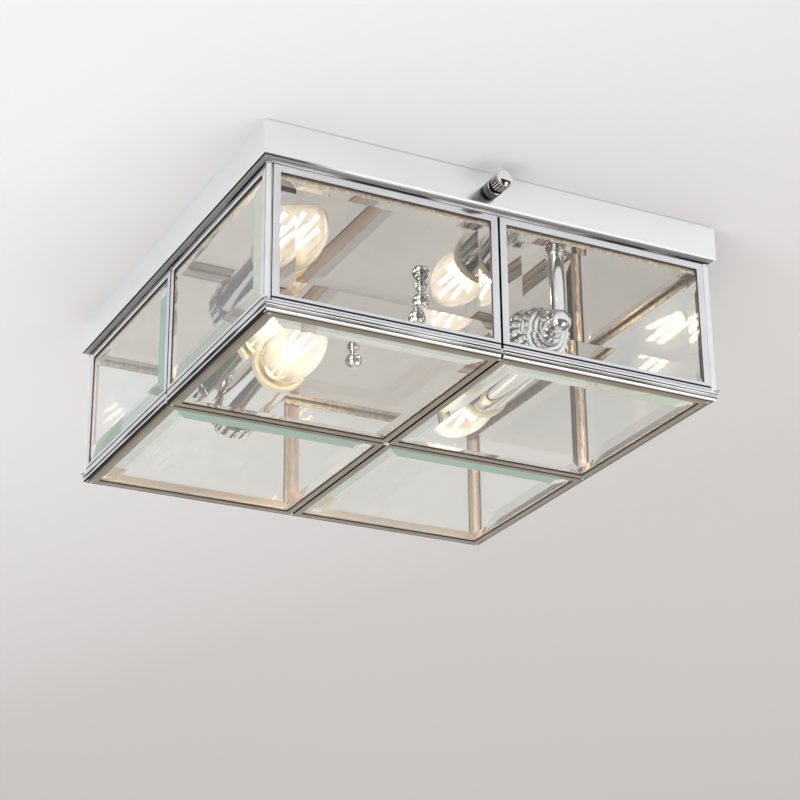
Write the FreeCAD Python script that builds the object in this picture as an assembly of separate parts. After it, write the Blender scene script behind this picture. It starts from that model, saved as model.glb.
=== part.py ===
import FreeCAD, Part
import math
import os

os.makedirs("parts", exist_ok=True)
V = FreeCAD.Vector

# Square ceiling light. Millimetres, +Z up. The origin is the centre of the ceiling face, the lamp
# hangs towards -Z, the side with the hand screw in view is -Y.

# Sizes of the shade
shade_width = 300.0
band_height = 22.5
band_sheet = 1.2
band_turn = 1.6
band_gap = 0.3
glass_step = 4.0
shade_depth = 115.0

# Sizes of the cames and the mouldings
came_depth = 3.4
came_flange = 4.6
came_sheet = 0.5
came_soft = 0.35
came_gap = 1.2
rail_proud = 0.6
rail_lip = 0.9
top_rail_height = 2.1
top_rail_leg = 7.4
top_rail_leg_sheet = 0.8
foot_rail_height = 6.4
foot_round = 2.9
foot_groove = 0.6
foot_round_inset = 0.3
foot_end_round = 1.4
foot_came_inset = 3.2
foot_gap = 0.1
post_round = 1.8

# Sizes of the glass
pane_thickness = 3.2
pane_edge = 1.6
bevel_width = 13.0
pane_clear = 0.1

# Sizes of the solder
solder_width = 6.0
solder_height = 0.7
solder_edge = 0.3
solder_clear = 1.5
dome_share = 0.8

# Sizes of the ceiling pan and the strap
pan_gap = 2.3
pan_drop = 28.0
pan_sheet = 1.0
pan_rim = 7.0
strap_width = 22.0
strap_sheet = 2.0
strap_step = 5.0
strap_ramp = 6.0
strap_end = 10.0
slot_spacing = 156.0
slot_length = 20.0
slot_width = 5.2
slot_margin = 6.0
cable_hole = 12.0

# Sizes of the studs and the ball nuts that hold the pan
stud_inset = 9.0
stud_thread = 4.0
stud_head_width = 7.0
stud_head_height = 2.0
stud_hole = 4.4
stud_nut_width = 7.0
stud_nut_height = 3.2
running_clear = 0.06
finial_ball = 11.0
finial_drop = 9.6
finial_neck = 5.6
finial_foot = 8.4
finial_foot_height = 1.2
finial_bore_end = 1.6
finial_gap = 0.1

# Sizes of the lamp carriers. The left lamp hangs higher than the right one, each by its share of the
# height between the pan and the foot.
right_stem_x = 50.5
left_stem_x = 57.5
right_drop_share = 0.523
left_drop_share = 0.42
stem_edge = 15.5
stem_width = 9.6
stem_bore = 5.2
stem_nipple = 7.8
stem_nipple_height = 9.0
stem_hole = 8.0
stem_nut_width = 13.0
stem_nut_height = 4.0
stem_nut_lift = 0.2
collar_width = 13.0
collar_height = 2.4
collar_round = 0.7
collar_clear = 0.05
lamp_toe_deg = 4.0
ball_width = 15.4
ball_socket = 2.2
ball_boss = 5.4

# Sizes along the lamp, measured from the centre of the ball
cup_boss_width = 9.0
cup_back = 9.0
cup_ring = 1.7
cup_ring_round = 0.5
cup_ring_step = 3.0
cup_rings = 3
cup_floor = 12.0
cup_seat = 18.0
cup_mouth = 34.0
cup_inner_back = 13.0
cup_mouth_width = 37.0
cup_mouth_chamfer = 0.6
cup_clear = 0.1
lobe_count = 18
lobe_section_shares = ((0.0, 0.94), (0.15, 0.975), (0.38, 1.0), (0.62, 1.0), (0.85, 0.975))
lobe_flare_shares = ((0.0, 0.74), (0.2, 0.955), (0.55, 0.965), (1.0, 1.0))
wire_hole = 4.0
tube_width = 31.2
tube_sheet = 0.8
tube_start = 18.4
tube_end = 103.0
holder_back = 60.0
holder_shoulder = 66.0
holder_back_width = 25.0
holder_floor = 98.0
holder_mouth = 107.5
holder_clear = 0.1
holder_bore = 15.0
holder_recess = 26.8
ring_width = 35.2
ring_opening = 29.2
sleeve_sheet = 0.3
sleeve_clear = 0.05
sleeve_back = 66.0
sleeve_front = 97.0
contact_back = 61.0
contact_sheet = 2.0
contact_tongue = 4.0

# Sizes of the bulb, measured the same way
cap_tip = 70.0
cap_tip_width = 3.8
cap_cone = 74.0
cap_cone_width = 12.0
cap_body = 75.0
cap_width = 13.92
cap_end = 98.4
cap_flare = 100.6
cap_flare_width = 17.0
contact_gap = 0.3
bulb_sheet = 0.9
bulb_width = 35.0
bulb_start = 100.7
bulb_length = 76.0
bulb_shares = ((0.0, 0.48), (0.06, 0.63), (0.14, 0.80), (0.26, 0.95), (0.41, 1.0), (0.56, 0.94),
               (0.70, 0.76), (0.83, 0.50), (0.93, 0.25), (0.985, 0.08))
mount_width = 5.0
mount_height = 22.0
filament_width = 1.8
filament_length = 34.0
filament_circle = 11.0
filament_start = 18.0
spider_width = 1.0
spider_height = 0.8
mast_width = 1.2

# Sizes of the hand screws
hand_x = 8.0
hand_drop = 13.0
hand_thread = 4.0
hand_collar = 9.6
hand_collar_height = 1.4
hand_knurl = 10.8
hand_inner_knurl = 7.0
hand_groove = 1.8
hand_groove_width = 7.6
hand_outer_knurl = 8.4
hand_dome = 2.4
hand_dome_share = 0.55
hand_gap = 0.1
hand_tip_gap = 0.1
bush_body = 7.0
bush_flange = 11.0
bush_flange_height = 2.4

# Sizes of the wiring
block_x = 36.0
block_length = 36.0
block_width = 18.0
block_height = 11.0
block_way = 11.0
screw_width = 3.4
screw_depth = 5.0
screw_clear = 0.1
screw_above = 0.3
earth_x = 32.0
earth_head = 7.0
earth_head_height = 2.4
earth_hole = 3.6
earth_thread = 3.4
wire_width = 2.0
wire_pitch = 2.3
wire_lift = 2.6
wire_tail = 6.0
wire_clear = 0.2
wire_sides = 8

# Levels and half sizes that follow from them
half = shade_width / 2
glass_half = half - glass_step
rail_half = glass_half + rail_proud
inner_half = glass_half - came_depth
pan_half = inner_half - top_rail_leg_sheet - pan_gap
band_foot = -band_height
came_top = band_foot - top_rail_height
foot_top = foot_rail_height - shade_depth
foot_half = glass_half - foot_came_inset
frame_end = inner_half - foot_gap
stem_y = pan_half - stem_edge
room = shade_depth - pan_drop
lamps = {"right": (1, right_stem_x, pan_drop + right_drop_share * room),
         "left": (-1, left_stem_x, pan_drop + left_drop_share * room)}
slot_y = slot_spacing / 2
knee = slot_y - slot_length / 2 - slot_margin - strap_ramp
toe_end = slot_y + slot_length / 2 + strap_end
stud_y = knee - stud_inset

made = {}


def put(name, *solids):
    # One node is one file. Pieces that repeat in a node stay separate solids.
    shape = solids[0] if len(solids) == 1 else Part.makeCompound(list(solids))
    shape.exportStep("parts/" + name + ".step")
    made[name] = shape
    print(name, len(shape.Solids), "solids")


def poly_face(points):
    return Part.Face(Part.makePolygon(list(points) + [points[0]]))


def poly_solid(faces):
    return Part.makeSolid(Part.makeShell([poly_face(f) for f in faces]))


def between(*sections):
    # A solid through flat sections with the same number of corners.
    count = len(sections[0])
    faces = [sections[0][::-1], sections[-1]]
    for first, last in zip(sections, sections[1:]):
        faces += [[first[i], first[(i + 1) % count], last[(i + 1) % count], last[i]] for i in range(count)]
    solid = poly_solid(faces)
    return solid if solid.Volume > 0 else solid.reversed()


def box(low, high):
    size = high - low
    return Part.makeBox(size.x, size.y, size.z, low)


def rod(radius, start, end):
    run = end - start
    return Part.makeCylinder(radius, run.Length, start, run)


def outline(steps, place):
    # A face from lines and arcs. A step is one point, or a pair for an arc: a point on it and its end.
    edges = []
    at = place(*steps[0])
    for step in steps[1:] + steps[:1]:
        if isinstance(step[0], tuple):
            via, end = [place(*p) for p in step]
            edges.append(Part.Arc(at, via, end).toShape())
        else:
            end = place(*step)
            edges.append(Part.makeLine(at, end))
        at = end
    return Part.Face(Part.Wire(edges))


def turned(steps, axis=V(0, 0, 1)):
    # A turned solid. The outline's points are (radius, distance along the axis).
    face = outline(steps, lambda r, h: V(r, 0, 0) + axis * h)
    return face.revolve(V(0, 0, 0), axis, 360)


def hexagon(width, start, height, bore):
    radius = width / math.sqrt(3)
    points = [start + V(radius * math.cos(math.pi * k / 3), radius * math.sin(math.pi * k / 3), 0)
              for k in range(6)]
    nut = poly_face(points).extrude(V(0, 0, height))
    return nut.cut(rod(bore / 2, start, start + V(0, 0, height)))


def frame_bars(centre, u, v, inward, half_u, half_v, section):
    # Four mitred bars round a rectangle. The section is (inset from the edge, depth inwards).
    corners = [(-1, -1), (1, -1), (1, 1), (-1, 1)]
    ends = [[centre + u * (su * (half_u - inset)) + v * (sv * (half_v - inset)) + inward * depth
             for inset, depth in section] for su, sv in corners]
    return [between(ends[k], ends[(k + 1) % 4]) for k in range(4)]


def pane(centre, u, v, inward, half_u, half_v):
    # A sheet with a wide bevel on its outer face.
    def ring(inset, depth):
        return [centre + u * (su * (half_u - inset)) + v * (sv * (half_v - inset)) + inward * depth
                for su, sv in ((-1, -1), (1, -1), (1, 1), (-1, 1))]
    inner = came_depth - came_sheet - pane_clear
    back = ring(0, inner)
    edge = ring(0, inner - pane_edge)
    front = ring(bevel_width, inner - pane_thickness)
    sides = [[back[i], back[(i + 1) % 4], edge[(i + 1) % 4], edge[i]] for i in range(4)]
    bevels = [[edge[i], edge[(i + 1) % 4], front[(i + 1) % 4], front[i]] for i in range(4)]
    solid = poly_solid(sides + bevels + [back[::-1], front])
    return solid if solid.Volume > 0 else solid.reversed()


channel = [(came_soft, 0), (came_flange, 0), (came_flange, came_sheet), (came_sheet, came_sheet),
           (came_sheet, came_depth - came_sheet), (came_flange, came_depth - came_sheet),
           (came_flange, came_depth), (came_soft, came_depth), (0, came_depth - came_soft), (0, came_soft)]


def glazed(name, centre, u, v, inward, half_u, half_v):
    # One pane in its own came. The came is four mitred channel bars.
    put("came_" + name, *frame_bars(centre, u, v, inward, half_u, half_v, channel))
    edge = came_sheet + pane_clear
    put("pane_" + name, pane(centre, u, v, inward, half_u - edge, half_v - edge))


X = V(1, 0, 0)
Y = V(0, 1, 0)
Z = V(0, 0, 1)


def quartered(shape):
    # The same piece on all four sides.
    copies = []
    for turn in range(4):
        piece = shape.copy()
        piece.rotate(V(0, 0, 0), Z, 90 * turn)
        copies.append(piece)
    return copies


def half_bar(section, start):
    # A bar from near the middle of the +X side to the mitre at its +Y end.
    run = section.extrude(Y * (rail_half - start))
    run.translate(Y * start)
    beyond = poly_face([V(0, 0, 0), V(half, half, 0), V(0, half, 0)]).extrude(-Z * (shade_depth + half))
    return run.cut(beyond)


# The shade's band is one sheet ring, bent round at its corners and its lower edge, with a lip
# turned in over the top of the glass.
band_outer = box(V(-half, -half, band_foot), V(half, half, -band_gap))
bends = [edge for edge in band_outer.Edges if edge.BoundBox.ZMin < -band_gap - band_turn]
band_outer = band_outer.makeFillet(band_turn, bends)
wall_half = half - band_sheet
wall_space = box(V(-wall_half, -wall_half, band_foot + band_sheet), V(wall_half, wall_half, 0))
lip_space = box(V(-inner_half, -inner_half, band_foot - band_sheet), V(inner_half, inner_half, 0))
band = band_outer.cut(wall_space).cut(lip_space)
for side in (-1, 1):
    hole_at = V(side * hand_x, side * half, -hand_drop)
    through = Y * (side * band_sheet * 2)
    band = band.cut(rod(bush_body / 2, hole_at - through, hole_at + through))
put("shade_band", band)

# The top rail carries the cames under the lip, with a flat leg inside them.
leg = top_rail_leg + top_rail_height
leg_face = rail_proud + came_depth
leg_back = leg_face + top_rail_leg_sheet
top_steps = [(rail_lip, 0), ((0, top_rail_height / 2), (rail_lip, top_rail_height)),
             (leg_face, top_rail_height), (leg_face, leg), (leg_back, leg), (leg_back, 0)]
top_face = outline(top_steps, lambda across, down: V(rail_half - across, 0, band_foot - down))
top_half = half_bar(top_face, 0)
top_other = top_half.mirror(V(0, 0, 0), Y)
put("top_rail", *quartered(top_half.fuse(top_other).removeSplitter()))

# The foot rail is a bead over a quarter round, in two lengths on each side that meet in the middle
# with rounded ends.
foot_edge = rail_half - foot_half - foot_gap
foot_back = rail_half - inner_half
foot_rise = foot_rail_height - came_depth - foot_gap
round_top = foot_rail_height - foot_round
round_dip = foot_round * math.sin(math.pi / 4)
bead = round_top - foot_groove
foot_steps = [(rail_lip, 0), ((0, bead / 2), (rail_lip, bead)), (rail_lip, round_top),
              (foot_round_inset, round_top),
              ((foot_round_inset + foot_round - round_dip, round_top + round_dip),
               (foot_round_inset + foot_round, foot_rail_height)),
              (foot_edge, foot_rail_height), (foot_edge, foot_rise), (foot_back, foot_rise), (foot_back, 0)]
foot_face = outline(foot_steps, lambda across, down: V(rail_half - across, 0, foot_top - down))
foot_start = came_gap / 2
nose_x = rail_half - foot_end_round
nose_y = foot_start + foot_end_round
nose = box(V(nose_x, 0, -shade_depth), V(half, nose_y, foot_top))
nose = nose.cut(rod(foot_end_round, V(nose_x, nose_y, -shade_depth), V(nose_x, nose_y, foot_top)))
foot_one = half_bar(foot_face, foot_start).cut(nose)
foot_other = foot_one.mirror(V(0, 0, 0), Y)
put("foot_rail", *quartered(foot_one), *quartered(foot_other))

# A bar with a rounded outer edge fills each upright corner of the glass.
post_in = frame_end + foot_gap
post_flat = glass_half - post_round
post_curve = post_flat + post_round * math.sin(math.pi / 4)
post_steps = [(glass_half, post_in), (glass_half, post_flat),
              ((post_curve, post_curve), (post_flat, glass_half)),
              (post_in, glass_half), (post_in, post_in)]
post_face = outline(post_steps, lambda x, y: V(x, y, foot_top))
put("corner_posts", *quartered(post_face.extrude(Z * (came_top - foot_top))))

# Twelve panes, two on each side and four below, each in its own came.
side_u = (frame_end - came_gap / 2) / 2
side_v = (came_top - foot_top) / 2
middle = (came_top + foot_top) / 2
shift = side_u + came_gap / 2
glazed("front_left", V(-shift, -glass_half, middle), X, Z, Y, side_u, side_v)
glazed("front_right", V(shift, -glass_half, middle), X, Z, Y, side_u, side_v)
glazed("back_left", V(-shift, glass_half, middle), X, Z, -Y, side_u, side_v)
glazed("back_right", V(shift, glass_half, middle), X, Z, -Y, side_u, side_v)
glazed("left_front", V(-glass_half, -shift, middle), Y, Z, X, side_u, side_v)
glazed("left_back", V(-glass_half, shift, middle), Y, Z, X, side_u, side_v)
glazed("right_front", V(glass_half, -shift, middle), Y, Z, -X, side_u, side_v)
glazed("right_back", V(glass_half, shift, middle), Y, Z, -X, side_u, side_v)
foot_u = (foot_half - came_gap / 2) / 2
inset = foot_u + came_gap / 2
for name, sx, sy in (("bottom_front_left", -1, -1), ("bottom_front_right", 1, -1),
                     ("bottom_back_left", -1, 1), ("bottom_back_right", 1, 1)):
    glazed(name, V(sx * inset, sy * inset, -shade_depth), X, Y, Z, foot_u, foot_u)

# Low rounded solder runs close the seams inside the glass, and a low dome joins those of the floor.
strip = solder_width / 2
run_top = came_top - top_rail_leg - foot_gap
bed = came_depth - shade_depth
run_foot = bed + solder_height
rise = Z * (run_top - run_foot)
run_steps = [(-strip, 0), ((0, solder_height), (strip, 0))]
upright = outline(run_steps, lambda across, up: V(across, inner_half - up, run_foot)).extrude(rise)
corner = [V(inner_half, inner_half - strip, run_foot), V(inner_half, inner_half, run_foot),
          V(inner_half - strip, inner_half, run_foot)]
fillet = poly_face(corner).extrude(rise)
floor_run = outline(run_steps, lambda across, up: V(across, 0, bed + up))
floor_run = floor_run.extrude(Y * (inner_half - solder_clear))
dome_r = solder_width * dome_share
dome_steps = [(0, bed), (dome_r, bed), (dome_r, bed + solder_edge), (strip, run_foot), (0, run_foot)]
cross = turned(dome_steps).fuse(quartered(floor_run)).removeSplitter()
put("solder_seams", *quartered(upright), *quartered(fillet), cross)

# The pan is an inverted tray. Its rim lies on the ceiling, its polished floor faces down.
pan_foot = -pan_drop
pan = box(V(-pan_half, -pan_half, pan_foot), V(pan_half, pan_half, 0))
pan_wall = pan_half - pan_sheet
rim_half = pan_half - pan_rim
pan = pan.cut(box(V(-pan_wall, -pan_wall, pan_foot + pan_sheet), V(pan_wall, pan_wall, -pan_sheet)))
pan = pan.cut(box(V(-rim_half, -rim_half, -pan_sheet - pan_sheet), V(rim_half, rim_half, pan_sheet)))
floor_low = V(0, 0, pan_foot - pan_sheet)
floor_high = V(0, 0, pan_foot + pan_sheet + pan_sheet)
holes = [(V(0, s * stud_y, 0), stud_hole) for s in (-1, 1)]
holes += [(V(side * stem_x, -side * stem_y, 0), stem_hole) for side, stem_x, drop in lamps.values()]
holes += [(V(-earth_x, 0, 0), earth_hole)]
for at, width in holes:
    pan = pan.cut(rod(width / 2, at + floor_low, at + floor_high))
put("ceiling_pan", pan)

# The strap is a joggled flat bar. Its feet lie on the ceiling, its middle clears the stud heads.
half_strap = strap_width / 2
profile = [(-toe_end, 0), (-knee - strap_ramp, 0), (-knee, -strap_step), (knee, -strap_step),
           (knee + strap_ramp, 0), (toe_end, 0), (toe_end, -strap_sheet),
           (knee + strap_ramp + strap_sheet / 2, -strap_sheet),
           (knee + strap_sheet / 2, -strap_step - strap_sheet),
           (-knee - strap_sheet / 2, -strap_step - strap_sheet),
           (-knee - strap_ramp - strap_sheet / 2, -strap_sheet), (-toe_end, -strap_sheet)]
strap = poly_face([V(-half_strap, y, z) for y, z in profile]).extrude(V(strap_width, 0, 0))
slot_reach = (slot_length - slot_width) / 2
for side in (-1, 1):
    mid = V(0, side * slot_y, -strap_sheet * 2)
    top = V(0, side * slot_y, strap_sheet)
    strap = strap.cut(rod(slot_width / 2, mid - Y * slot_reach, top - Y * slot_reach))
    strap = strap.cut(rod(slot_width / 2, mid + Y * slot_reach, top + Y * slot_reach))
    strap = strap.cut(box(mid - V(slot_width / 2, slot_reach, 0), top + V(slot_width / 2, slot_reach, 0)))
    stud_at = V(0, side * stud_y, 0)
    stud_low = stud_at - Z * (strap_step + strap_sheet * 2)
    strap = strap.cut(rod(stud_thread / 2 + running_clear, stud_low, stud_at))
strap = strap.cut(rod(cable_hole / 2, V(0, 0, -strap_step - strap_sheet * 2), V(0, 0, 0)))
put("mounting_strap", strap)

# Two studs hang from the strap, each locked by a nut below it.
stud_foot = pan_foot - finial_drop - finial_bore_end + finial_gap
studs = []
nuts = []
for side in (-1, 1):
    at = V(0, side * stud_y, -strap_step)
    head = rod(stud_head_width / 2, at, at + Z * stud_head_height)
    shank = rod(stud_thread / 2, V(at.x, at.y, stud_foot), at)
    studs.append(head.fuse(shank).removeSplitter())
    nut_at = at - Z * (strap_sheet + stud_nut_height)
    nuts.append(hexagon(stud_nut_width, nut_at, stud_nut_height, stud_thread + running_clear * 2))
put("pan_studs", *studs)

# A ball nut on each stud holds the pan up.
ball_r = finial_ball / 2
for name, side in (("front", -1), ("back", 1)):
    at = V(0, side * stud_y, pan_foot - finial_gap)
    foot = rod(finial_foot / 2, at - Z * finial_foot_height, at)
    neck = rod(finial_neck / 2, at - Z * finial_drop, at)
    ball = Part.makeSphere(ball_r, at - Z * finial_drop)
    nut = foot.fuse(neck).fuse(ball)
    bore = rod(stud_thread / 2 + running_clear, at - Z * (finial_drop + finial_bore_end + finial_gap), at)
    put("ball_nut_" + name, nut.cut(bore).removeSplitter())


def placed(shape, name):
    # From the lamp's own axes, with the ball at the origin and the lamp along +Y, to its place.
    side, stem_x, drop = lamps[name]
    shape = shape.copy()
    shape.rotate(V(0, 0, 0), Z, -lamp_toe_deg)
    shape.translate(V(stem_x, -stem_y, -drop))
    if side < 0:
        shape.rotate(V(0, 0, 0), Z, 180)
    return shape


def lobed(radius, station):
    # A ring of lobes across the lamp, with a valley between each two.
    points = []
    for lobe in range(lobe_count):
        for around, share in lobe_section_shares:
            angle = 2 * math.pi * (lobe + around) / lobe_count
            reach = radius * share
            points.append(V(reach * math.cos(angle), station, reach * math.sin(angle)))
    return points


# A ball joins each stem to the fluted cup behind the lamp. The cup is a stack of turned rings and a
# flare of round lobes, hollowed to take the tube.
stem_r = stem_width / 2
stem_foot = ball_width / 2 - ball_socket
ball = Part.makeSphere(ball_width / 2, V(0, 0, 0))
ball = ball.cut(rod(stem_r, V(0, 0, stem_foot), V(0, 0, ball_width)))
ball = ball.cut(rod(cup_boss_width / 2, V(0, ball_boss, 0), V(0, ball_width, 0)))
boss = cup_boss_width / 2
seat = tube_width / 2 + cup_clear
rings = [(0, ball_boss), (boss, ball_boss), (boss, cup_back)]
for ring in range(cup_rings):
    near = cup_back + ring * cup_ring
    ring_r = boss + (ring + 1) * cup_ring_step
    rings += [(ring_r - cup_ring_round, near), (ring_r, near + cup_ring_round),
              (ring_r, near + cup_ring - cup_ring_round), (ring_r - cup_ring_round, near + cup_ring)]
lobes_start = cup_back + cup_rings * cup_ring
rings += [(0, lobes_start)]
stations = [lobed(share * cup_mouth_width / 2, lobes_start + along * (cup_mouth - lobes_start))
            for along, share in lobe_flare_shares]
cup_space = turned([(0, ball_boss), (wire_hole / 2, ball_boss), (wire_hole / 2, cup_floor),
                    (cup_inner_back / 2, cup_floor), (seat, cup_seat), (seat, cup_mouth - cup_mouth_chamfer),
                    (seat + cup_mouth_chamfer, cup_mouth), (0, cup_mouth)], Y)
cup = turned(rings, Y).fuse(between(*stations)).cut(cup_space).removeSplitter()
tube_r = tube_width / 2
tube = turned([(tube_r - tube_sheet, tube_start), (tube_r, tube_start), (tube_r, tube_end),
               (tube_r - tube_sheet, tube_end)], Y)

# The lamp holder fills the tube and shows as a pale ring at its mouth.
holder_r = tube_width / 2 - tube_sheet - holder_clear
bore_r = holder_bore / 2
holder = turned([(bore_r, holder_back), (holder_back_width / 2, holder_back), (holder_r, holder_shoulder),
                 (holder_r, tube_end), (ring_width / 2, tube_end), (ring_width / 2, holder_mouth),
                 (ring_opening / 2, holder_mouth), (holder_recess / 2, tube_end),
                 (holder_recess / 2, holder_floor), (bore_r, holder_floor)], Y)
sleeve_r = bore_r - sleeve_clear
sleeve = turned([(sleeve_r - sleeve_sheet, sleeve_back), (sleeve_r, sleeve_back), (sleeve_r, sleeve_front),
                 (sleeve_r - sleeve_sheet, sleeve_front)], Y)
base = rod(sleeve_r, V(0, contact_back, 0), V(0, contact_back + contact_sheet, 0))
tongue = rod(contact_tongue / 2, V(0, contact_back + contact_sheet, 0), V(0, cap_tip - contact_gap, 0))
contact = base.fuse(tongue).removeSplitter()

# The bulb is a candle shape with a screw cap and four upright filaments.
cap_r = cap_width / 2
cap = turned([(0, cap_tip), (cap_tip_width / 2, cap_tip), (cap_tip_width / 2, (cap_tip + cap_cone) / 2),
              (cap_cone_width / 2, cap_cone), (cap_r, cap_body), (cap_r, cap_end),
              (cap_flare_width / 2, cap_flare), (0, cap_flare)], Y)
bulb_r = bulb_width / 2
skin = [(share * bulb_r, bulb_start + bulb_length * along) for along, share in bulb_shares]
core = [(max(r - bulb_sheet, bulb_sheet / 2), h) for r, h in skin]
tip = bulb_start + bulb_length
glass = turned(skin + [(0, tip), (0, tip - bulb_sheet)] + core[::-1], Y)
mount_top = bulb_start + mount_height
fil_low = bulb_start + filament_start
fil_high = fil_low + filament_length
filaments = rod(mount_width / 2, V(0, bulb_start, 0), V(0, mount_top, 0))
filaments = filaments.fuse(rod(mast_width / 2, V(0, mount_top, 0), V(0, fil_high, 0)))
reach = filament_circle / 2
bar = spider_width / 2
for level in (mount_top - spider_height, fil_high - spider_height):
    for low, high in ((V(-reach, level, -bar), V(reach, level + spider_height, bar)),
                      (V(-bar, level, -reach), V(bar, level + spider_height, reach))):
        filaments = filaments.fuse(box(low, high))
for x, z in ((reach, 0), (-reach, 0), (0, reach), (0, -reach)):
    filaments = filaments.fuse(rod(filament_width / 2, V(x, fil_low, z), V(x, fil_high, z)))
filaments = filaments.removeSplitter()

# The stems hang from the pan, each with a rounded collar below and a nut above.
collars = []
stem_nuts = []
collar_in = stem_r + collar_clear
collar_r = collar_width / 2
collar_flat = collar_r - collar_round
for name, (side, stem_x, drop) in lamps.items():
    lift = drop - pan_drop
    stem = turned([(stem_bore / 2, stem_foot), (stem_r, stem_foot), (stem_r, lift), (stem_nipple / 2, lift),
                   (stem_nipple / 2, lift + stem_nipple_height), (stem_bore / 2, lift + stem_nipple_height)])
    collar = turned([(collar_in, lift), (collar_flat, lift), (collar_r, lift - collar_round),
                     (collar_r, lift - collar_height + collar_round), (collar_flat, lift - collar_height),
                     (collar_in, lift - collar_height)])
    nut_at = V(0, 0, lift + pan_sheet + stem_nut_lift)
    stem_nut = hexagon(stem_nut_width, nut_at, stem_nut_height, stem_nipple + running_clear * 2)
    put("stem_" + name, placed(stem, name))
    put("stem_ball_" + name, placed(ball, name))
    put("fluted_cup_" + name, placed(cup, name))
    put("holder_tube_" + name, placed(tube, name))
    put("lamp_holder_" + name, placed(holder, name))
    put("contacts_" + name, placed(sleeve, name), placed(contact, name))
    put("bulb_cap_" + name, placed(cap, name))
    put("bulb_glass_" + name, placed(glass, name))
    put("filaments_" + name, placed(filaments, name))
    collars.append(placed(collar, name))
    stem_nuts.append(placed(stem_nut, name))
put("stem_collars", *collars)
put("hex_nuts", *nuts, *stem_nuts)

# The hand screws go through bushes in the band and bear on the pan.
knurl_r = hand_knurl / 2
steps = [(0, -hand_gap), (hand_collar / 2, -hand_gap)]
reach_out = hand_gap + hand_collar_height
steps += [(hand_collar / 2, -reach_out), (knurl_r, -reach_out)]
reach_out += hand_inner_knurl
steps += [(knurl_r, -reach_out), (hand_groove_width / 2, -reach_out)]
reach_out += hand_groove
steps += [(hand_groove_width / 2, -reach_out), (knurl_r, -reach_out)]
reach_out += hand_outer_knurl
dome_end = -reach_out - hand_dome
steps += [(knurl_r, -reach_out), (knurl_r * hand_dome_share, dome_end), (0, dome_end)]
head = turned(steps, Y)
shank_end = half - pan_half - hand_tip_gap
shank = rod(hand_thread / 2, V(0, -hand_gap - hand_collar_height, 0), V(0, shank_end, 0))
hand_screw = head.fuse(shank).removeSplitter()
bush_in = band_sheet + bush_flange_height
bush = rod(bush_body / 2, V(0, 0, 0), V(0, bush_in, 0))
bush = bush.fuse(rod(bush_flange / 2, V(0, band_sheet, 0), V(0, bush_in, 0))).removeSplitter()
bush = bush.cut(rod(hand_thread / 2 + running_clear, V(0, -band_sheet, 0), V(0, bush_in + band_sheet, 0)))
bushes = []
for name, side in (("front", 1), ("back", -1)):
    for shape, keep in ((hand_screw, False), (bush, True)):
        shape = shape.copy()
        shape.translate(V(-hand_x, -half, -hand_drop))
        if side < 0:
            shape.rotate(V(0, 0, 0), Z, 180)
        if keep:
            bushes.append(shape)
        else:
            put("hand_screw_" + name, shape)
put("band_bushes", *bushes)

# A three-way block stands on the pan's floor, out of sight.
floor = pan_foot + pan_sheet
block = box(V(block_x - block_width / 2, -block_length / 2, floor),
            V(block_x + block_width / 2, block_length / 2, floor + block_height))
block_top = floor + block_height
way_z = floor + block_height / 3
small = []
for way in (-1, 0, 1):
    for row in (-1, 1):
        at = V(block_x + row * block_width / 4, way * block_way, block_top)
        block = block.cut(rod(screw_width / 2 + screw_clear, at - Z * screw_depth, at + Z * screw_above))
        small.append(rod(screw_width / 2, at - Z * (screw_depth - screw_clear), at + Z * screw_above))
    for row in (-1, 1):
        mouth = V(block_x + row * block_width, way * block_way, way_z)
        stop = V(block_x + row * block_width / 4, way * block_way, way_z)
        block = block.cut(rod(wire_width / 2 + wire_clear, mouth, stop))
put("terminal_block", block)
earth_at = V(-earth_x, 0, floor)
earth = rod(earth_thread / 2, V(-earth_x, 0, pan_foot), earth_at)
earth = earth.fuse(rod(earth_head / 2, earth_at, earth_at + Z * earth_head_height)).removeSplitter()
put("terminal_screws", *small, earth)


def wire(points):
    # A bent wire with a many-sided section, mitred at each bend.
    runs = [(points[i + 1] - points[i]).normalize() for i in range(len(points) - 1)]
    away = Z.cross(runs[0]) if abs(runs[0].z) < abs(runs[0].x) else Y
    over = runs[0].cross(away)
    turns = [2 * math.pi * k / wire_sides for k in range(wire_sides)]
    radius = wire_width / 2
    ring = [points[0] + away * (math.cos(a) * radius) + over * (math.sin(a) * radius) for a in turns]
    solids = []
    for i, run in enumerate(runs):
        end = points[i + 1]
        normal = run if i == len(runs) - 1 else (run + runs[i + 1]).normalize()
        following = [p + run * ((end - p).dot(normal) / run.dot(normal)) for p in ring]
        solids.append(between(ring, following))
        ring = following
    whole = solids[0]
    for solid in solids[1:]:
        whole = whole.fuse(solid)
    return whole.removeSplitter()


# Two wires run from each stem to the block, and one from the block to the earth screw.
wires = []
nipple_top = pan_foot + stem_nipple_height
wire_low = nipple_top - wire_tail
run_z = nipple_top + wire_lift
near_end = block_x + block_width / 4 + wire_clear
far_end = block_x - block_width / 4 - wire_clear
bend = block_x - block_width / 2 - wire_tail
for pair in (-1, 1):
    near_x = right_stem_x + pair * wire_pitch / 2
    far_x = -left_stem_x + pair * wire_pitch / 2
    way = pair * block_way
    wires.append(wire([V(near_x, -stem_y, wire_low), V(near_x, -stem_y, run_z), V(near_x, way, run_z),
                       V(near_x, way, way_z), V(near_end, way, way_z)]))
    wires.append(wire([V(far_x, stem_y, wire_low), V(far_x, stem_y, run_z), V(far_x, way, run_z),
                       V(bend, way, run_z), V(bend, way, way_z), V(far_end, way, way_z)]))
wires.append(wire([V(far_end, 0, way_z), V(-earth_x, 0, way_z)]))
put("lamp_wires", *wires)
print(len(made), "nodes")
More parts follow.
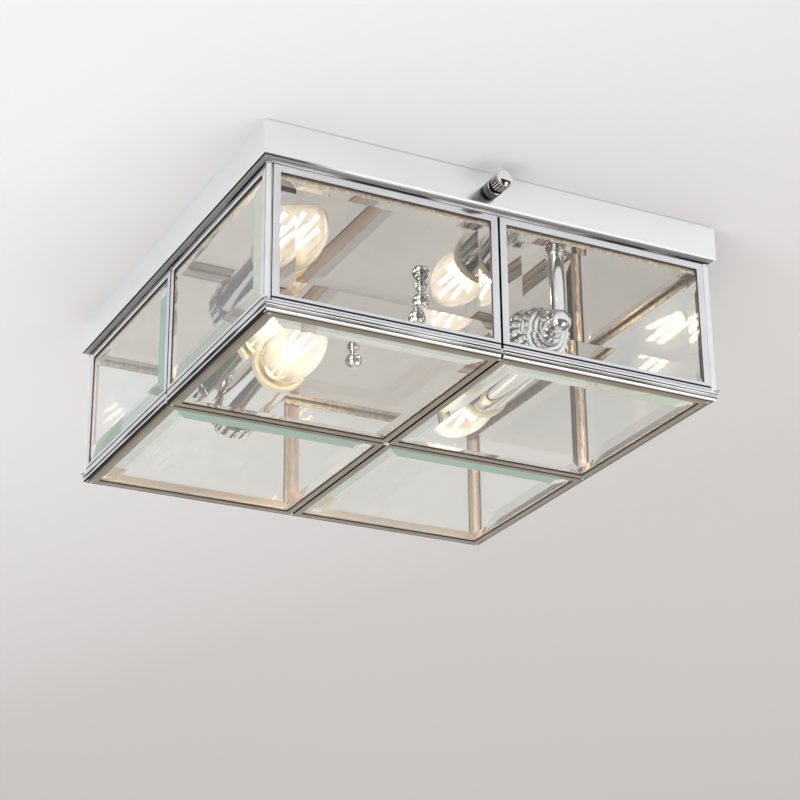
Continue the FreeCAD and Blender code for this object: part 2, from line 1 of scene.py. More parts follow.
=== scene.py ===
# %% [markdown]
# # A square glass box light under a ceiling
# This lesson dresses a shallow ceiling light: a plain bright band, a box of bevelled panes held in metal
# cames, and two candle lamps over a mirror pan. The shapes, sizes and joints come from the CAD frame. Here
# each visible piece gets the soft edges, ripples and finish that the real one has, worked out with numpy.

# %% Load the CAD frame
import math

import bmesh
import bpy
import numpy as np
from mathutils import Matrix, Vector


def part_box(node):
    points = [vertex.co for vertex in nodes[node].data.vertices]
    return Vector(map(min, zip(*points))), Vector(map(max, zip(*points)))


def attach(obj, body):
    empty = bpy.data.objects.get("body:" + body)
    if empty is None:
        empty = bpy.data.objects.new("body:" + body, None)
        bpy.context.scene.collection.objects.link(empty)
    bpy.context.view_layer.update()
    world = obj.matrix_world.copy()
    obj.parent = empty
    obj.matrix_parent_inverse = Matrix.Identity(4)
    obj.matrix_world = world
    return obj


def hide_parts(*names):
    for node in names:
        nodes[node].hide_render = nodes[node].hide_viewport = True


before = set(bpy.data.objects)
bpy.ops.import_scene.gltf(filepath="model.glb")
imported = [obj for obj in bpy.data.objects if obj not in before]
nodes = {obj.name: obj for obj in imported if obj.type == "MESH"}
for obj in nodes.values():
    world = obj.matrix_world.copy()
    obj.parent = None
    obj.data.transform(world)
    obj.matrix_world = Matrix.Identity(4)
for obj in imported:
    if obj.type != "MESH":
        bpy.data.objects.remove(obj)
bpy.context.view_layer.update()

# %% [markdown]
# ## Surfaces from arrays
# Nearly every piece of this light is a profile carried along something: turned round an axis, or run round a
# square. So one helper joins rows of points into four-sided faces, and the rest is formulas for the rows.
# Lengths are in millimetres until the mesh is made, because that is how such a light is drawn.

# %% Rows of points to faces
def skin(rows, loop=False):
    """Rows of points, an array (rows, points, 3). Each row closes on itself, and each is joined to the next
    by four-sided faces. With loop, the last row is joined to the first too."""
    n, m = rows.shape[:2]
    i = np.arange(n if loop else n - 1)[:, None]
    j = np.arange(m)[None, :]
    after, beside = (i + 1) % n, (j + 1) % m
    faces = np.stack([i * m + j, i * m + beside, after * m + beside, after * m + j], axis=-1)
    return rows.reshape(-1, 3), faces.reshape(-1, 4)


print("rows of points can be joined")

# %% [markdown]
# ## From arrays to a Blender object
# The points go into the mesh in metres, at their place in the room, and the object itself stays at the
# origin. Poles and seams are merged, faces are turned outwards, and an edge stays sharp only where the
# surface really turns, so that polished metal reflects in smooth bands.

# %% Make a piece
MM, SAME_PLACE, SHARP = 0.001, 2e-6, math.radians(32)


def put_in_scene(name, data):
    """A new object with its data, in the scene."""
    made = bpy.data.objects.new(name, data)
    bpy.context.scene.collection.objects.link(made)
    return made


def piece(name, parts, material, body, instead=(), sharp=SHARP):
    """One object from several (points, faces) parts, in millimetres."""
    start, points, faces = 0, [], []
    for part_points, part_faces in parts:
        points.append(part_points)
        faces.append(part_faces + start)
        start += len(part_points)
    mesh = bpy.data.meshes.new(name)
    mesh.from_pydata((np.concatenate(points) * MM).tolist(), [], np.concatenate(faces).tolist())
    work = bmesh.new()
    work.from_mesh(mesh)
    bmesh.ops.remove_doubles(work, verts=work.verts, dist=SAME_PLACE)
    bmesh.ops.recalc_face_normals(work, faces=work.faces)
    work.to_mesh(mesh)
    work.free()
    mesh.shade_smooth()
    mesh.set_sharp_from_angle(angle=sharp)
    mesh.materials.append(material)
    made = put_in_scene(name, mesh)
    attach(made, body)
    if instead:
        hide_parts(*instead)
    print(name, len(mesh.polygons), "faces")
    return made


print("an edge is sharp from", round(math.degrees(SHARP)), "degrees")

# %% [markdown]
# ## Finishes
# A finish is a Principled shader whose colour, roughness and bump are moved a little by noise in Object
# coordinates, which are metres here. Chrome is never one flat grey: it has faint haze and a slight
# unevenness that bends what it reflects.

# %% A finish with its nodes
def new_finish(name):
    """A new material, its node tree and its Principled shader."""
    mat = bpy.data.materials.new(name)
    mat.use_nodes = True
    tree = mat.node_tree
    return mat, tree, next(n for n in tree.nodes if n.type == "BSDF_PRINCIPLED")


def put(tree, socket, value):
    """Links an output to a socket, or sets the socket to a plain value. A colour comes without its alpha."""
    if isinstance(value, bpy.types.NodeSocket):
        tree.links.new(value, socket)
    else:
        socket.default_value = (*value, 1) if socket.type == "RGBA" else value


def add(tree, kind, links=(), **values):
    """A node with its values, and links as (input, output or plain value)."""
    node = tree.nodes.new(kind)
    for key, value in values.items():
        setattr(node, key, value)
    for name, source in links:
        put(tree, node.inputs[name], source)
    return node


def grain(tree, scale, detail=3.0):
    """Noise in Object coordinates."""
    at = add(tree, "ShaderNodeTexCoord").outputs["Object"]
    noise = add(tree, "ShaderNodeTexNoise", [("Vector", at), ("Scale", scale), ("Detail", detail)])
    return noise.outputs["Fac"]


def ramp(tree, source, low, high, first, last):
    """A number that runs from first to last as the source runs from low to high."""
    names = ("Value", "From Min", "From Max", "To Min", "To Max")
    return add(tree, "ShaderNodeMapRange", zip(names, (source, low, high, first, last))).outputs["Result"]


def blended(tree, factor, first, last):
    """A colour between two, by a factor."""
    return add(tree, "ShaderNodeMix", [(0, factor), (6, first), (7, last)], data_type="RGBA").outputs[2]


def mottled(tree, noise, light, dark, low=0.35, high=0.65):
    """A colour that runs from light to dark as the noise runs from low to high."""
    return blended(tree, ramp(tree, noise, low, high, 0, 1), light, dark)


def dress(tree, shader, colour, rough, metallic=1.0, height=None, rise=0.0):
    """Colour, roughness and metal share for a shader, and a bump that rises with the height, in metres."""
    for name, value in (("Base Color", colour), ("Roughness", rough), ("Metallic", metallic)):
        put(tree, shader.inputs[name], value)
    if height is not None:
        bump = add(tree, "ShaderNodeBump", [("Height", height), ("Distance", rise), ("Strength", 1.0)])
        put(tree, shader.inputs["Normal"], bump.outputs["Normal"])


print("helpers for finishes are ready")


# %% Plain metals
def metal(name, light, dark, rough, ripple, scale):
    """Polished or satin metal: colour between light and dark by slow noise, roughness by finer noise,
    and a faint ripple in the bump, in metres."""
    mat, tree, shader = new_finish(name)
    slow, fine = grain(tree, scale), grain(tree, scale * 8, 4.0)
    dress(tree, shader, mottled(tree, slow, light, dark), ramp(tree, fine, 0.3, 0.7, *rough),
          height=slow, rise=ripple)
    return mat


chrome = metal("polished chrome", (0.93, 0.93, 0.935), (0.89, 0.89, 0.895), (0.02, 0.05), 0.00002, 45)
bead_chrome = metal("bead chrome", (0.93, 0.93, 0.935), (0.85, 0.85, 0.86), (0.03, 0.07), 0.00004, 70)
mirror = metal("mirror pan", (0.68, 0.655, 0.635), (0.62, 0.595, 0.575), (0.015, 0.035), 0.00004, 12)
zinc = metal("zinc steel", (0.62, 0.62, 0.63), (0.50, 0.50, 0.50), (0.28, 0.42), 0.00002, 90)
plated = metal("plated steel", (0.74, 0.74, 0.74), (0.64, 0.64, 0.63), (0.16, 0.26), 0.00001, 120)
brass = metal("brass", (0.80, 0.62, 0.32), (0.70, 0.52, 0.25), (0.2, 0.32), 0.00001, 120)
cap_metal = metal("lamp cap metal", (0.86, 0.82, 0.74), (0.80, 0.75, 0.66), (0.3, 0.42), 0.00001, 150)
print("plain metals are ready")

# %% [markdown]
# ## Bevelled glass
# Light bends through the bevels, so the panes keep their real thickness and a glass shader. Two things are
# added. A lamp's light must get in, so shadow rays meet a clear film. And light that is caught inside a pane
# by total reflection runs along it and comes out pale green: after a few inner reflections the shader paints
# that green as a glow of its own, painted light, as a bevel shows it where it is seen at a low angle. Only
# short steps count as caught, and behind a first pane more of them are asked for, so that a ray between two
# mirrors stays clear.

# %% Masks and mixed shaders
def calc(tree, kind, *values):
    """The result of one step of arithmetic."""
    return add(tree, "ShaderNodeMath", enumerate(values), operation=kind).outputs[0]


def both(tree, first, second):
    """The product of two masks: 1 only where both are 1."""
    return calc(tree, "MULTIPLY", first, second)


def place(tree):
    """Object coordinates in metres, by the names X, Y and Z."""
    at = add(tree, "ShaderNodeTexCoord").outputs["Object"]
    return add(tree, "ShaderNodeSeparateXYZ", [("Vector", at)]).outputs


def mixed(tree, factor, first, last):
    """A shader between two, by a factor."""
    return add(tree, "ShaderNodeMixShader", [(0, factor), (1, first), (2, last)]).outputs[0]


def surface_of(tree, surface):
    """Gives the material's output this shader."""
    out = next(n for n in tree.nodes if n.type == "OUTPUT_MATERIAL")
    tree.links.new(surface, out.inputs["Surface"])


print("masks can be worked out")

# %% Pane glass
SHORT_STEP = 0.015


def clear_glass(name, tint, ior, film, trapped=None, haze=None):
    """Glass with a tint and a refractive index; shadow rays meet the film. Trapped gives the greens of a
    painted glow that stands in for caught light, far and near. Haze is a painted glow, the filaments' light
    painted on
    the glass: colour, strength face on and strength at the rim."""
    mat, tree, shader = new_finish(name)
    dress(tree, shader, tint, 0.0, 0.0)
    shader.inputs["IOR"].default_value = ior
    shader.inputs["Transmission Weight"].default_value = 1.0
    path = add(tree, "ShaderNodeLightPath").outputs
    surface = shader.outputs["BSDF"]
    if trapped:
        # Painted light: a pale green emission stands in for light caught inside the pane, paler towards the
        # front.
        near = ramp(tree, place(tree)["Y"], -0.13, -0.04, 1, 0)
        glow = add(tree, "ShaderNodeEmission", [("Color", blended(tree, near, *trapped))])
        enough = ramp(tree, path["Transmission Depth"], 1.0, 3.0, 2.5, 5.5)
        caught = both(tree, calc(tree, "GREATER_THAN", path["Glossy Depth"], enough),
                      calc(tree, "LESS_THAN", path["Ray Length"], SHORT_STEP))
        surface = mixed(tree, caught, surface, glow.outputs[0])
    if haze:
        # Painted light: the bulb glass glows with the filaments' light, stronger face on and near the sticks.
        colour, face_on, at_rim = haze
        facing = add(tree, "ShaderNodeLayerWeight", [("Blend", 0.5)]).outputs["Facing"]
        near = add(tree, "ShaderNodeAttribute", attribute_name="nearness").outputs["Fac"]
        strength = both(tree, ramp(tree, facing, 0.0, 0.9, face_on, at_rim), near)
        halo = add(tree, "ShaderNodeEmission", [("Color", colour), ("Strength", strength)])
        surface = add(tree, "ShaderNodeAddShader", [(0, surface), (1, halo.outputs[0])]).outputs[0]
    clear = add(tree, "ShaderNodeBsdfTransparent", [("Color", film)])
    surface_of(tree, mixed(tree, path["Is Shadow Ray"], surface, clear.outputs[0]))
    return mat


pane_glass = clear_glass("bevelled pane glass", (0.975, 0.985, 0.97), 1.52, (0.95, 0.96, 0.95),
                         trapped=((0.33, 0.46, 0.38), (0.56, 0.60, 0.49)))
for name, node in nodes.items():
    if name.startswith("pane_"):
        for spot in node.material_slots:
            spot.material = pane_glass
        print(name, "is glass")

# %% [markdown]
# ## The cames and the solder inside
# Each pane sits in a channel of bright metal. Outside it is smooth and silvery. Inside, where nobody
# polishes, the same metal is rough and stained the colour of copper foil and flux. Both live in one
# material: a mask from Object coordinates tells the inner faces from the outer ones.

# %% Masks on the box, in metres
OUT_HALF, FOOT, SEAM_HALF, LINE_SOFT = 0.146, -0.115, 0.00072, 0.00012


def outwards(tree, at):
    """|x| and |y|, and the larger of them: how far out a point of the square box lies."""
    wide = [calc(tree, "ABSOLUTE", at[k]) for k in "XY"]
    return wide, calc(tree, "MAXIMUM", *wide)


def level_line(tree, height, low, high):
    """1 between two heights and 0 elsewhere, with a soft edge. It places painted lines, such as the painted
    shade where a rail meets a piece.
    """
    return both(tree, ramp(tree, height, low - LINE_SOFT, low, 0, 1),
                ramp(tree, height, high, high + LINE_SOFT, 1, 0))


def seam_mask(tree, wide):
    """1 within SEAM_HALF of a middle plane, where cames face each other: the narrow seam, which gets painted
    shade.
    """
    return ramp(tree, calc(tree, "MINIMUM", *wide), SEAM_HALF, SEAM_HALF + 0.00008, 1, 0)


def under_skin(tree, far, height, start, end):
    """0 on the box's outer faces, and 1 where a point lies deeper than end behind its side and its foot."""
    return both(tree, ramp(tree, far, OUT_HALF - end, OUT_HALF - start, 1, 0),
                ramp(tree, height, FOOT + start, FOOT + end, 0, 1))


print("the box is", 2 * OUT_HALF, "m wide")

# %% Came finish
# Near black, the painted shade in the narrow seams between cames.
SEAM_SHADE_BLACK = (0.02, 0.018, 0.016)
SKIN, EDGE_SKIN = (0.0016, 0.0022), (0.00014, 0.00022)


def layered(tree, colour, *layers):
    """Lays each (mask, colour) over the colours before it."""
    for mask, over in layers:
        colour = blended(tree, mask, colour, over)
    return colour


def came_finish(name):
    """Silver on the sides, taupe under the foot, stained inside and darker near the mirror. Painted shade
    makes the seams, the rims that lie a little deeper and a band over the foot rail dark: the shade of the
    narrow seams, a fine shade line where the glass begins, and the shade of the gap between came and rail."""
    mat, tree, shader = new_finish(name)
    at = place(tree)
    wide, far = outwards(tree, at)
    cloud, specks = grain(tree, 55, 5), grain(tree, 700)
    inner = under_skin(tree, far, at["Z"], *SKIN)
    # Painted shade: the rolled rims that lie a little deeper are dark, a fine shade line where the glass
    # begins.
    edge_shade = under_skin(tree, far, at["Z"], *EDGE_SKIN)
    side = ramp(tree, at["Z"], FOOT + SKIN[0], FOOT + SKIN[1], 0, 1)
    # Painted shade: a near black band over the foot rail stands for the shaded gap between came and rail.
    joint_shade = both(tree, level_line(tree, at["Z"], -0.1072, -0.1061), ramp(tree, far, 0.1413, 0.1415, 0, 1))
    stain = layered(tree, mottled(tree, cloud, (0.78, 0.70, 0.62), (0.86, 0.62, 0.45), 0.38, 0.62),
                    (ramp(tree, specks, 0.58, 0.70, 0, 0.8), (0.97, 0.92, 0.85)),
                    (ramp(tree, at["Z"], -0.0345, -0.0335, 0, 0.75), (0.16, 0.12, 0.09)))
    colour = layered(tree, mottled(tree, cloud, (0.37, 0.335, 0.29), (0.31, 0.28, 0.235)),
                     (side, mottled(tree, cloud, (0.80, 0.80, 0.83), (0.74, 0.74, 0.77))),
                     (edge_shade, (0.13, 0.10, 0.08)), (joint_shade, (0.035, 0.03, 0.028)),
                     (inner, stain), (seam_mask(tree, wide), SEAM_SHADE_BLACK))
    rough = add(tree, "ShaderNodeMix", [(0, inner), (2, ramp(tree, specks, 0.3, 0.7, 0.14, 0.22)),
                                        (3, ramp(tree, specks, 0.3, 0.7, 0.30, 0.55))], data_type="FLOAT")
    dress(tree, shader, colour, rough.outputs[0], height=cloud, rise=0.00008)
    return mat


came_metal = came_finish("came metal")
print("came finish is ready")

# %% [markdown]
# ## Mouldings round the square
# The cames, the rails and the band are all one idea: a profile carried round a rectangle with mitred
# corners. The profile gives how far a point is set in from the edge and how deep it lies. Points along each
# side let a slow ripple move the surface by a few hundredths of a millimetre, and this is what makes the
# long reflections on the real beads swell and pinch.

# %% Outlines with soft corners
def rounded(points, radius, steps=4, closed=True):
    """Each corner P becomes a quadratic arc (1-t)^2 A + 2t(1-t) P + t^2 B, where A and B lie the radius away
    from P on its two sides, or two fifths of a shorter side. An open outline keeps its two ends."""
    p = np.asarray(points, float)
    before, after = np.roll(p, 1, 0) - p, np.roll(p, -1, 0) - p
    long_b = np.linalg.norm(before, axis=1, keepdims=True)
    long_a = np.linalg.norm(after, axis=1, keepdims=True)
    a = p + before * (np.minimum(radius, long_b * 0.4) / long_b)
    b = p + after * (np.minimum(radius, long_a * 0.4) / long_a)
    t = np.linspace(0, 1, steps + 1)[None, :, None]
    arcs = (1 - t) ** 2 * a[:, None] + 2 * t * (1 - t) * p[:, None] + t**2 * b[:, None]
    if closed:
        return arcs.reshape(-1, p.shape[1])
    return np.concatenate([p[:1], arcs[1:-1].reshape(-1, p.shape[1]), p[-1:]])


print("corners can be rounded")

# %% Profiles round a rectangle
X, Y, Z = np.eye(3)


def ripple(points, size, wave):
    """Moves points by three sums of sines of their own place: size * sin(2 pi p.k / wave + phase)."""
    turns = np.array([[0.61, 0.57, 0.55], [-0.48, 0.71, 0.52], [0.33, -0.62, 0.71]])
    phase = points @ turns.T * (2 * np.pi / wave)
    return points + size * (np.sin(phase) + 0.5 * np.sin(2.3 * phase[:, ::-1] + 1.7))


def moulding(centre, u, v, inward, half_u, half_v, outline, along=24):
    """At each corner (su, sv) the outline (inset, depth) lies at
    centre + u su (half_u - inset) + v sv (half_v - inset) + inward depth, and the sides between corners
    are straight mixes (1 - t) P + t Q of two corners' points."""
    centre, u, v, inward = (np.array(x, float) for x in (centre, u, v, inward))
    inset, depth = np.asarray(outline, float).T
    signs = np.array([(-1, -1), (1, -1), (1, 1), (-1, 1)])
    corners = (centre + signs[:, :1, None] * (half_u - inset)[None, :, None] * u
               + signs[:, 1:, None] * (half_v - inset)[None, :, None] * v + depth[None, :, None] * inward)
    t = np.linspace(0, 1, along, endpoint=False)[None, :, None, None]
    rows = (1 - t) * corners[:, None] + t * np.roll(corners, -1, 0)[:, None]
    return skin(rows.reshape(4 * along, -1, 3), loop=True)


def wavy(part, size, wave):
    """A part whose points have the ripple."""
    return ripple(part[0], size, wave), part[1]


print("mouldings are ready")

# %% [markdown]
# ## The band
# The band is one sheet, folded at the corners and turned in at its foot. A folded edge is never knife sharp:
# its small curve catches the light in a bright line along the front and the back, which is painted on as a
# highlight, and this line is the first thing the eye finds. Elsewhere the curve and the lip under it carry
# painted shade.

# %% Band
BAND_HALF, BAND_FOOT, BAND_TOP, SHEET, LIP = 150.0, -22.5, -0.3, 1.2, 7.4


def band_finish(name):
    """Brushed chrome. On the fold of the front and the back, but for its left end, a pale highlight is
    painted between z = -21.1 and -22.2 mm, which reads as one bright line. Elsewhere its lower edge has a
    dark line of painted shade, and the flange under it is painted dark grey as shade. The highlight and the
    flange are not metal."""
    mat, tree, shader = new_finish(name)
    at = place(tree)
    # Painted highlight: the fold of the front and the back, but for its left end, gets a pale bright line.
    highlight_sides = both(tree, ramp(tree, calc(tree, "ABSOLUTE", at["Y"]), 0.1470, 0.1475, 0, 1),
                ramp(tree, at["X"], -0.125, -0.09, 0, 1))
    fold = both(tree, level_line(tree, at["Z"], -0.0222, -0.0211), highlight_sides)
    # Painted shade: a dark line on the fold where no highlight is, and dark grey on the flange under the
    # band.
    edge = both(tree, level_line(tree, at["Z"], -0.02236, -0.0219), ramp(tree, highlight_sides, 0, 1, 1, 0))
    flange = ramp(tree, at["Z"], -0.0225, -0.0223, 1, 0)
    cloud = grain(tree, 18)
    sheen = layered(tree, mottled(tree, cloud, (0.95, 0.955, 0.965), (0.93, 0.935, 0.945)),
                    (flange, (0.30, 0.295, 0.29)), (edge, (0.05, 0.05, 0.052)), (fold, (0.98, 0.97, 0.95)))
    painted_not_metal = calc(tree, "MAXIMUM", fold, flange)
    dress(tree, shader, sheen, ramp(tree, cloud, 0.3, 0.7, 0.20, 0.26), ramp(tree, painted_not_metal, 0, 1, 1, 0))
    return mat


band_chrome = band_finish("band chrome")
band_outline = rounded([(0, BAND_TOP), (0, BAND_FOOT), (LIP, BAND_FOOT), (LIP, BAND_FOOT + SHEET),
                        (SHEET, BAND_FOOT + SHEET), (SHEET, BAND_TOP)], 1.6, 6)
band_part = wavy(moulding((0, 0, 0), X, Y, Z, BAND_HALF, BAND_HALF, band_outline), 0.03, 160.0)
piece("band_sheet", [band_part], band_chrome, "glass_shade", ["shade_band"])

# %% [markdown]
# ## The rails
# Under the band runs a slim bead. Round the foot of the glass runs a bead over a quarter round, in two
# lengths on each side that meet in the middle with rounded ends. A round edge shows a dark line, a bright
# line and a dark line again, so each outline is built from true arcs.

# %% Rail finish
def rail_finish(name, dark_levels, stained, dark_under=None):
    """Bright chrome with dark lines of painted shade between the given heights, uneven by noise, and stained
    where it lies less far out than stained. The underside turns from bright to dark at dark_under, and to
    taupe just inside that."""
    mat, tree, shader = new_finish(name)
    at = place(tree)
    far = outwards(tree, at)[1]
    cloud, specks = grain(tree, 70), grain(tree, 420)
    inside = ramp(tree, far, stained, stained + 0.0002, 1, 0)
    stain = mottled(tree, specks, (0.62, 0.52, 0.42), (0.90, 0.76, 0.62), 0.45, 0.62)
    colour = blended(tree, inside, mottled(tree, cloud, (0.94, 0.94, 0.945), (0.86, 0.86, 0.87)), stain)
    # Painted shade: dark lines on the beads at the given heights, made uneven by noise.
    shade_unevenness = ramp(tree, grain(tree, 16, 2), 0.40, 0.58, 0.3, 1.0)
    for low, high in dark_levels:
        line = both(tree, level_line(tree, at["Z"], low, high), shade_unevenness)
        colour = blended(tree, line, colour, (0.03, 0.028, 0.028))
    if dark_under:
        below = both(tree, ramp(tree, far, dark_under, dark_under + 0.0002, 1, 0),
                     ramp(tree, at["Z"], -0.1132, -0.1130, 1, 0))
        rim = ramp(tree, far, dark_under - 0.0008, dark_under - 0.0005, 0, 1)
        colour = blended(tree, below, colour, blended(tree, rim, (0.30, 0.27, 0.23), (0.045, 0.038, 0.032)))
    dress(tree, shader, colour, ramp(tree, inside, 0, 1, 0.05, 0.38), height=cloud, rise=0.00004)
    return mat


top_chrome = rail_finish("top rail chrome", [(-0.0246, -0.0237)], 0.1430)
foot_chrome = rail_finish("foot rail chrome", [(-0.1110, -0.1103), (-0.1127, -0.1121)], 0.1424, 0.1447)
print("rail finishes are ready")

# %% Top rail
RAIL_HALF = 146.6


def arc(centre, radii, start, end, steps=9):
    """Points (cx - rx cos t, cy + ry sin t) while t runs from start to end, in degrees: an outline's arc,
    with the inset first and the depth second."""
    t = np.radians(np.linspace(start, end, steps))
    return np.stack([centre[0] - radii[0] * np.cos(t), centre[1] + radii[1] * np.sin(t)], axis=1)


top_outline = np.concatenate([arc((0.9, 1.05), (0.9, 1.05), -90, 90),
                              [(4.0, 2.1), (4.0, 9.5), (4.8, 9.5), (4.8, 0)]])
top_part = wavy(moulding((0, 0, BAND_FOOT), X, Y, -Z, RAIL_HALF, RAIL_HALF, top_outline), 0.02, 60.0)
piece("top_rail_bead", [top_part], top_chrome, "glass_shade", ["top_rail"])

# %% Bars and quarter turns
QUARTER = np.array([[0, -1, 0], [1, 0, 0], [0, 0, 1]], float)


def capped(rows):
    """Rows joined into a bar. A fan of faces to the end row's mean point closes each end."""
    ends = [np.broadcast_to(rows[k].mean(axis=0), rows[k].shape)[None] for k in (0, -1)]
    return skin(np.concatenate([ends[0], rows, ends[1]]))


def quarter_turned(part, turns):
    """The part turned about Z by so many quarter turns."""
    return part[0] @ np.linalg.matrix_power(QUARTER, turns).T, part[1]


print("bars can be closed and turned")

# %% Foot rail
FOOT_TOP, SEAM, END_ROUND = -108.6, 0.6, 1.4
foot_outline = np.concatenate([arc((0.9, 1.45), (0.9, 1.45), -90, 90, 11),
                               [(1.0, 3.1), (0.9, 3.4), (0.4, 3.5)], arc((3.2, 3.6), (2.9, 2.8), 4, 90, 11),
                               [(3.7, 6.4), (3.7, 2.9), (4.0, 2.9), (4.0, 0.0)]])


def corner_rail(outline, level):
    """A bar from the middle of one side round the corner to the middle of the next. A point (inset, depth)
    lies at (h - inset, y, level - depth), with y from the seam to the mitre at h - inset, and then the same
    with x and y swapped. At distance d < R from an end the inset is at least R - sqrt(R^2 - (R - d)^2)."""
    inset, depth = np.asarray(outline, float).T
    d = np.concatenate([[0, 0.04, 0.15, 0.35, 0.6, 0.95, END_ROUND], np.linspace(3, RAIL_HALF - SEAM, 22)])
    d = d[:, None]
    short = np.clip(END_ROUND - d, 0, END_ROUND)
    least = END_ROUND - np.sqrt(END_ROUND**2 - short**2)
    inset = np.maximum(inset[None, :], least)
    along = SEAM + d / (RAIL_HALF - SEAM) * (RAIL_HALF - inset - SEAM)
    low = np.broadcast_to(level - depth, inset.shape)
    first = np.stack([RAIL_HALF - inset, along, low], axis=-1)
    second = first[::-1][1:, :, [1, 0, 2]]
    return capped(np.concatenate([first, second]))


foot_bar = wavy(corner_rail(foot_outline, FOOT_TOP), 0.03, 55.0)
foot_bars = [quarter_turned(foot_bar, turn) for turn in range(4)]
piece("foot_rail_bead", foot_bars, foot_chrome, "glass_shade", ["foot_rail"], sharp=math.radians(50))

# %% [markdown]
# ## The cames
# A came is a small channel. Its outer face is very slightly crowned and its edge is rolled towards the
# glass, so that it reads as a soft strip. The fine dark line where the glass begins is painted shade in its
# finish.

# %% Twelve cames
DEEP, FLANGE, LEAF = 3.4, 4.6, 0.5
came_outline = rounded([(0, 0.15), (0.4, 0), (2.3, -0.12), (FLANGE - 0.3, 0), (FLANGE, 0.2), (FLANGE, LEAF),
                        (LEAF, LEAF), (LEAF, DEEP - LEAF), (FLANGE, DEEP - LEAF), (FLANGE, DEEP),
                        (0, DEEP)], 0.25)


def came(name):
    """The came's place and size are read from its CAD node: the box gives both half sizes, and the thin
    side gives the direction of the glass."""
    low, high = (np.array(p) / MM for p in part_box(name))
    size, centre = high - low, (high + low) / 2
    thin = int(np.argmin(size))
    sign = 1.0 if thin == 2 else -np.sign(centre[thin])
    inward = sign * np.eye(3)[thin]
    u, v = [np.eye(3)[k] for k in range(3) if k != thin]
    half_u, half_v = [size[k] / 2 for k in range(3) if k != thin]
    start = centre - inward * size[thin] / 2
    part = wavy(moulding(start, u, v, inward, half_u, half_v, came_outline, 16), 0.015, 40.0)
    piece(name.replace("came_", "channel_"), [part], came_metal, "glass_shade", [name])


for name in sorted(nodes):
    if name.startswith("came_"):
        came(name)

# %% [markdown]
# ## Corner posts
# Where two walls of glass meet, a round bead stands between their cames with a fine groove on each side. It
# is one outline carried straight up, so a post is just two rows, repeated up its height for the ripple.

# %% Four corner posts
POST_TOP = -24.6
post_outline = rounded([(142.6, 142.6), (145.5, 142.6), (145.7, 143.3), (146.35, 144.0), (146.4, 145.6),
                        (145.6, 146.4), (144.0, 146.35), (143.3, 145.7), (142.6, 145.5)], 0.9)
post = np.stack([np.column_stack([post_outline, np.full(len(post_outline), height)])
                 for height in np.linspace(FOOT_TOP, POST_TOP, 24)])
posts = [wavy(quarter_turned(capped(post), turn), 0.03, 35.0) for turn in range(4)]
piece("corner_beads", posts, bead_chrome, "glass_shade", ["corner_posts"])

# %% [markdown]
# ## Solder
# Inside, the seams are closed by hand with solder. A run is a low ridge whose width and height wander: the
# wander is a sum of sines of the distance along the run, so it never repeats in view and comes out the same
# each time. Outside, a small drop of solder sits where cames meet.

# %% Solder runs
def solder_run(start, end, across, up, width, height, phase, steps=70):
    """Points start + (end - start) s + across w(s) cos a + up h(s) sin a, for a half turn of a, with the
    width w and height h wandering along s."""
    start, end, across, up = (np.array(x, float) for x in (start, end, across, up))
    s = np.linspace(0, 1, steps)[:, None]
    long = np.linalg.norm(end - start)
    wander = 0.13 * np.sin(s * long / 3.1 + phase) + 0.10 * np.sin(s * long / 1.3 + 2 * phase)
    pinch = np.minimum(1, np.minimum(s, 1 - s) * long / (width * 0.5) + 0.15) ** 0.5
    a = np.linspace(0, np.pi, 11)[None, :]
    w = width / 2 * (1 + wander) * pinch
    h = height * (1 + 1.6 * np.roll(wander, 3, 0)) * pinch
    middle = (start + (end - start) * s)[:, None]
    arch = middle + (w * np.cos(a))[..., None] * across + (h * np.sin(a))[..., None] * up
    base = middle + (w * np.cos(a[:, -2:0:-1]))[..., None] * across
    return capped(np.concatenate([arch, base], axis=1))


SLANT = 0.707
inner, foot_z, run_top = OUT_HALF / MM - DEEP, FOOT / MM + DEEP, -33
runs = []
for turn in range(4):
    wall_run = solder_run((0, inner, foot_z), (0, inner, run_top), X, -Y, 7.6, 1.1, 1.0 + turn)
    corner_run = solder_run((inner - 0.5, inner - 0.5, foot_z), (inner - 0.5, inner - 0.5, run_top),
                            (SLANT, -SLANT, 0), (-SLANT, -SLANT, 0), 6.4, 1.3, 2.0 + turn)
    floor_run = solder_run((0, 3, foot_z), (0, inner - 1.5, foot_z), X, Z, 7.4, 0.9, 3.0 + turn)
    edge_run = solder_run((-inner + 3, inner - 0.2, foot_z + 0.2), (inner - 3, inner - 0.2, foot_z + 0.2),
                          (0, -SLANT, SLANT), (0, -SLANT, -SLANT), 3.4, 0.9, 4.0 + turn, 160)
    runs += [quarter_turned(run, turn) for run in (wall_run, corner_run, floor_run, edge_run)]
runs.append(solder_run((-4.5, 0, foot_z), (4.5, 0, foot_z), Y, Z, 9.0, 1.1, 0.4, 24))
print(len(runs), "runs of solder")

# %% Solder finish
FACE_SKIN = (0.00341, 0.00344)


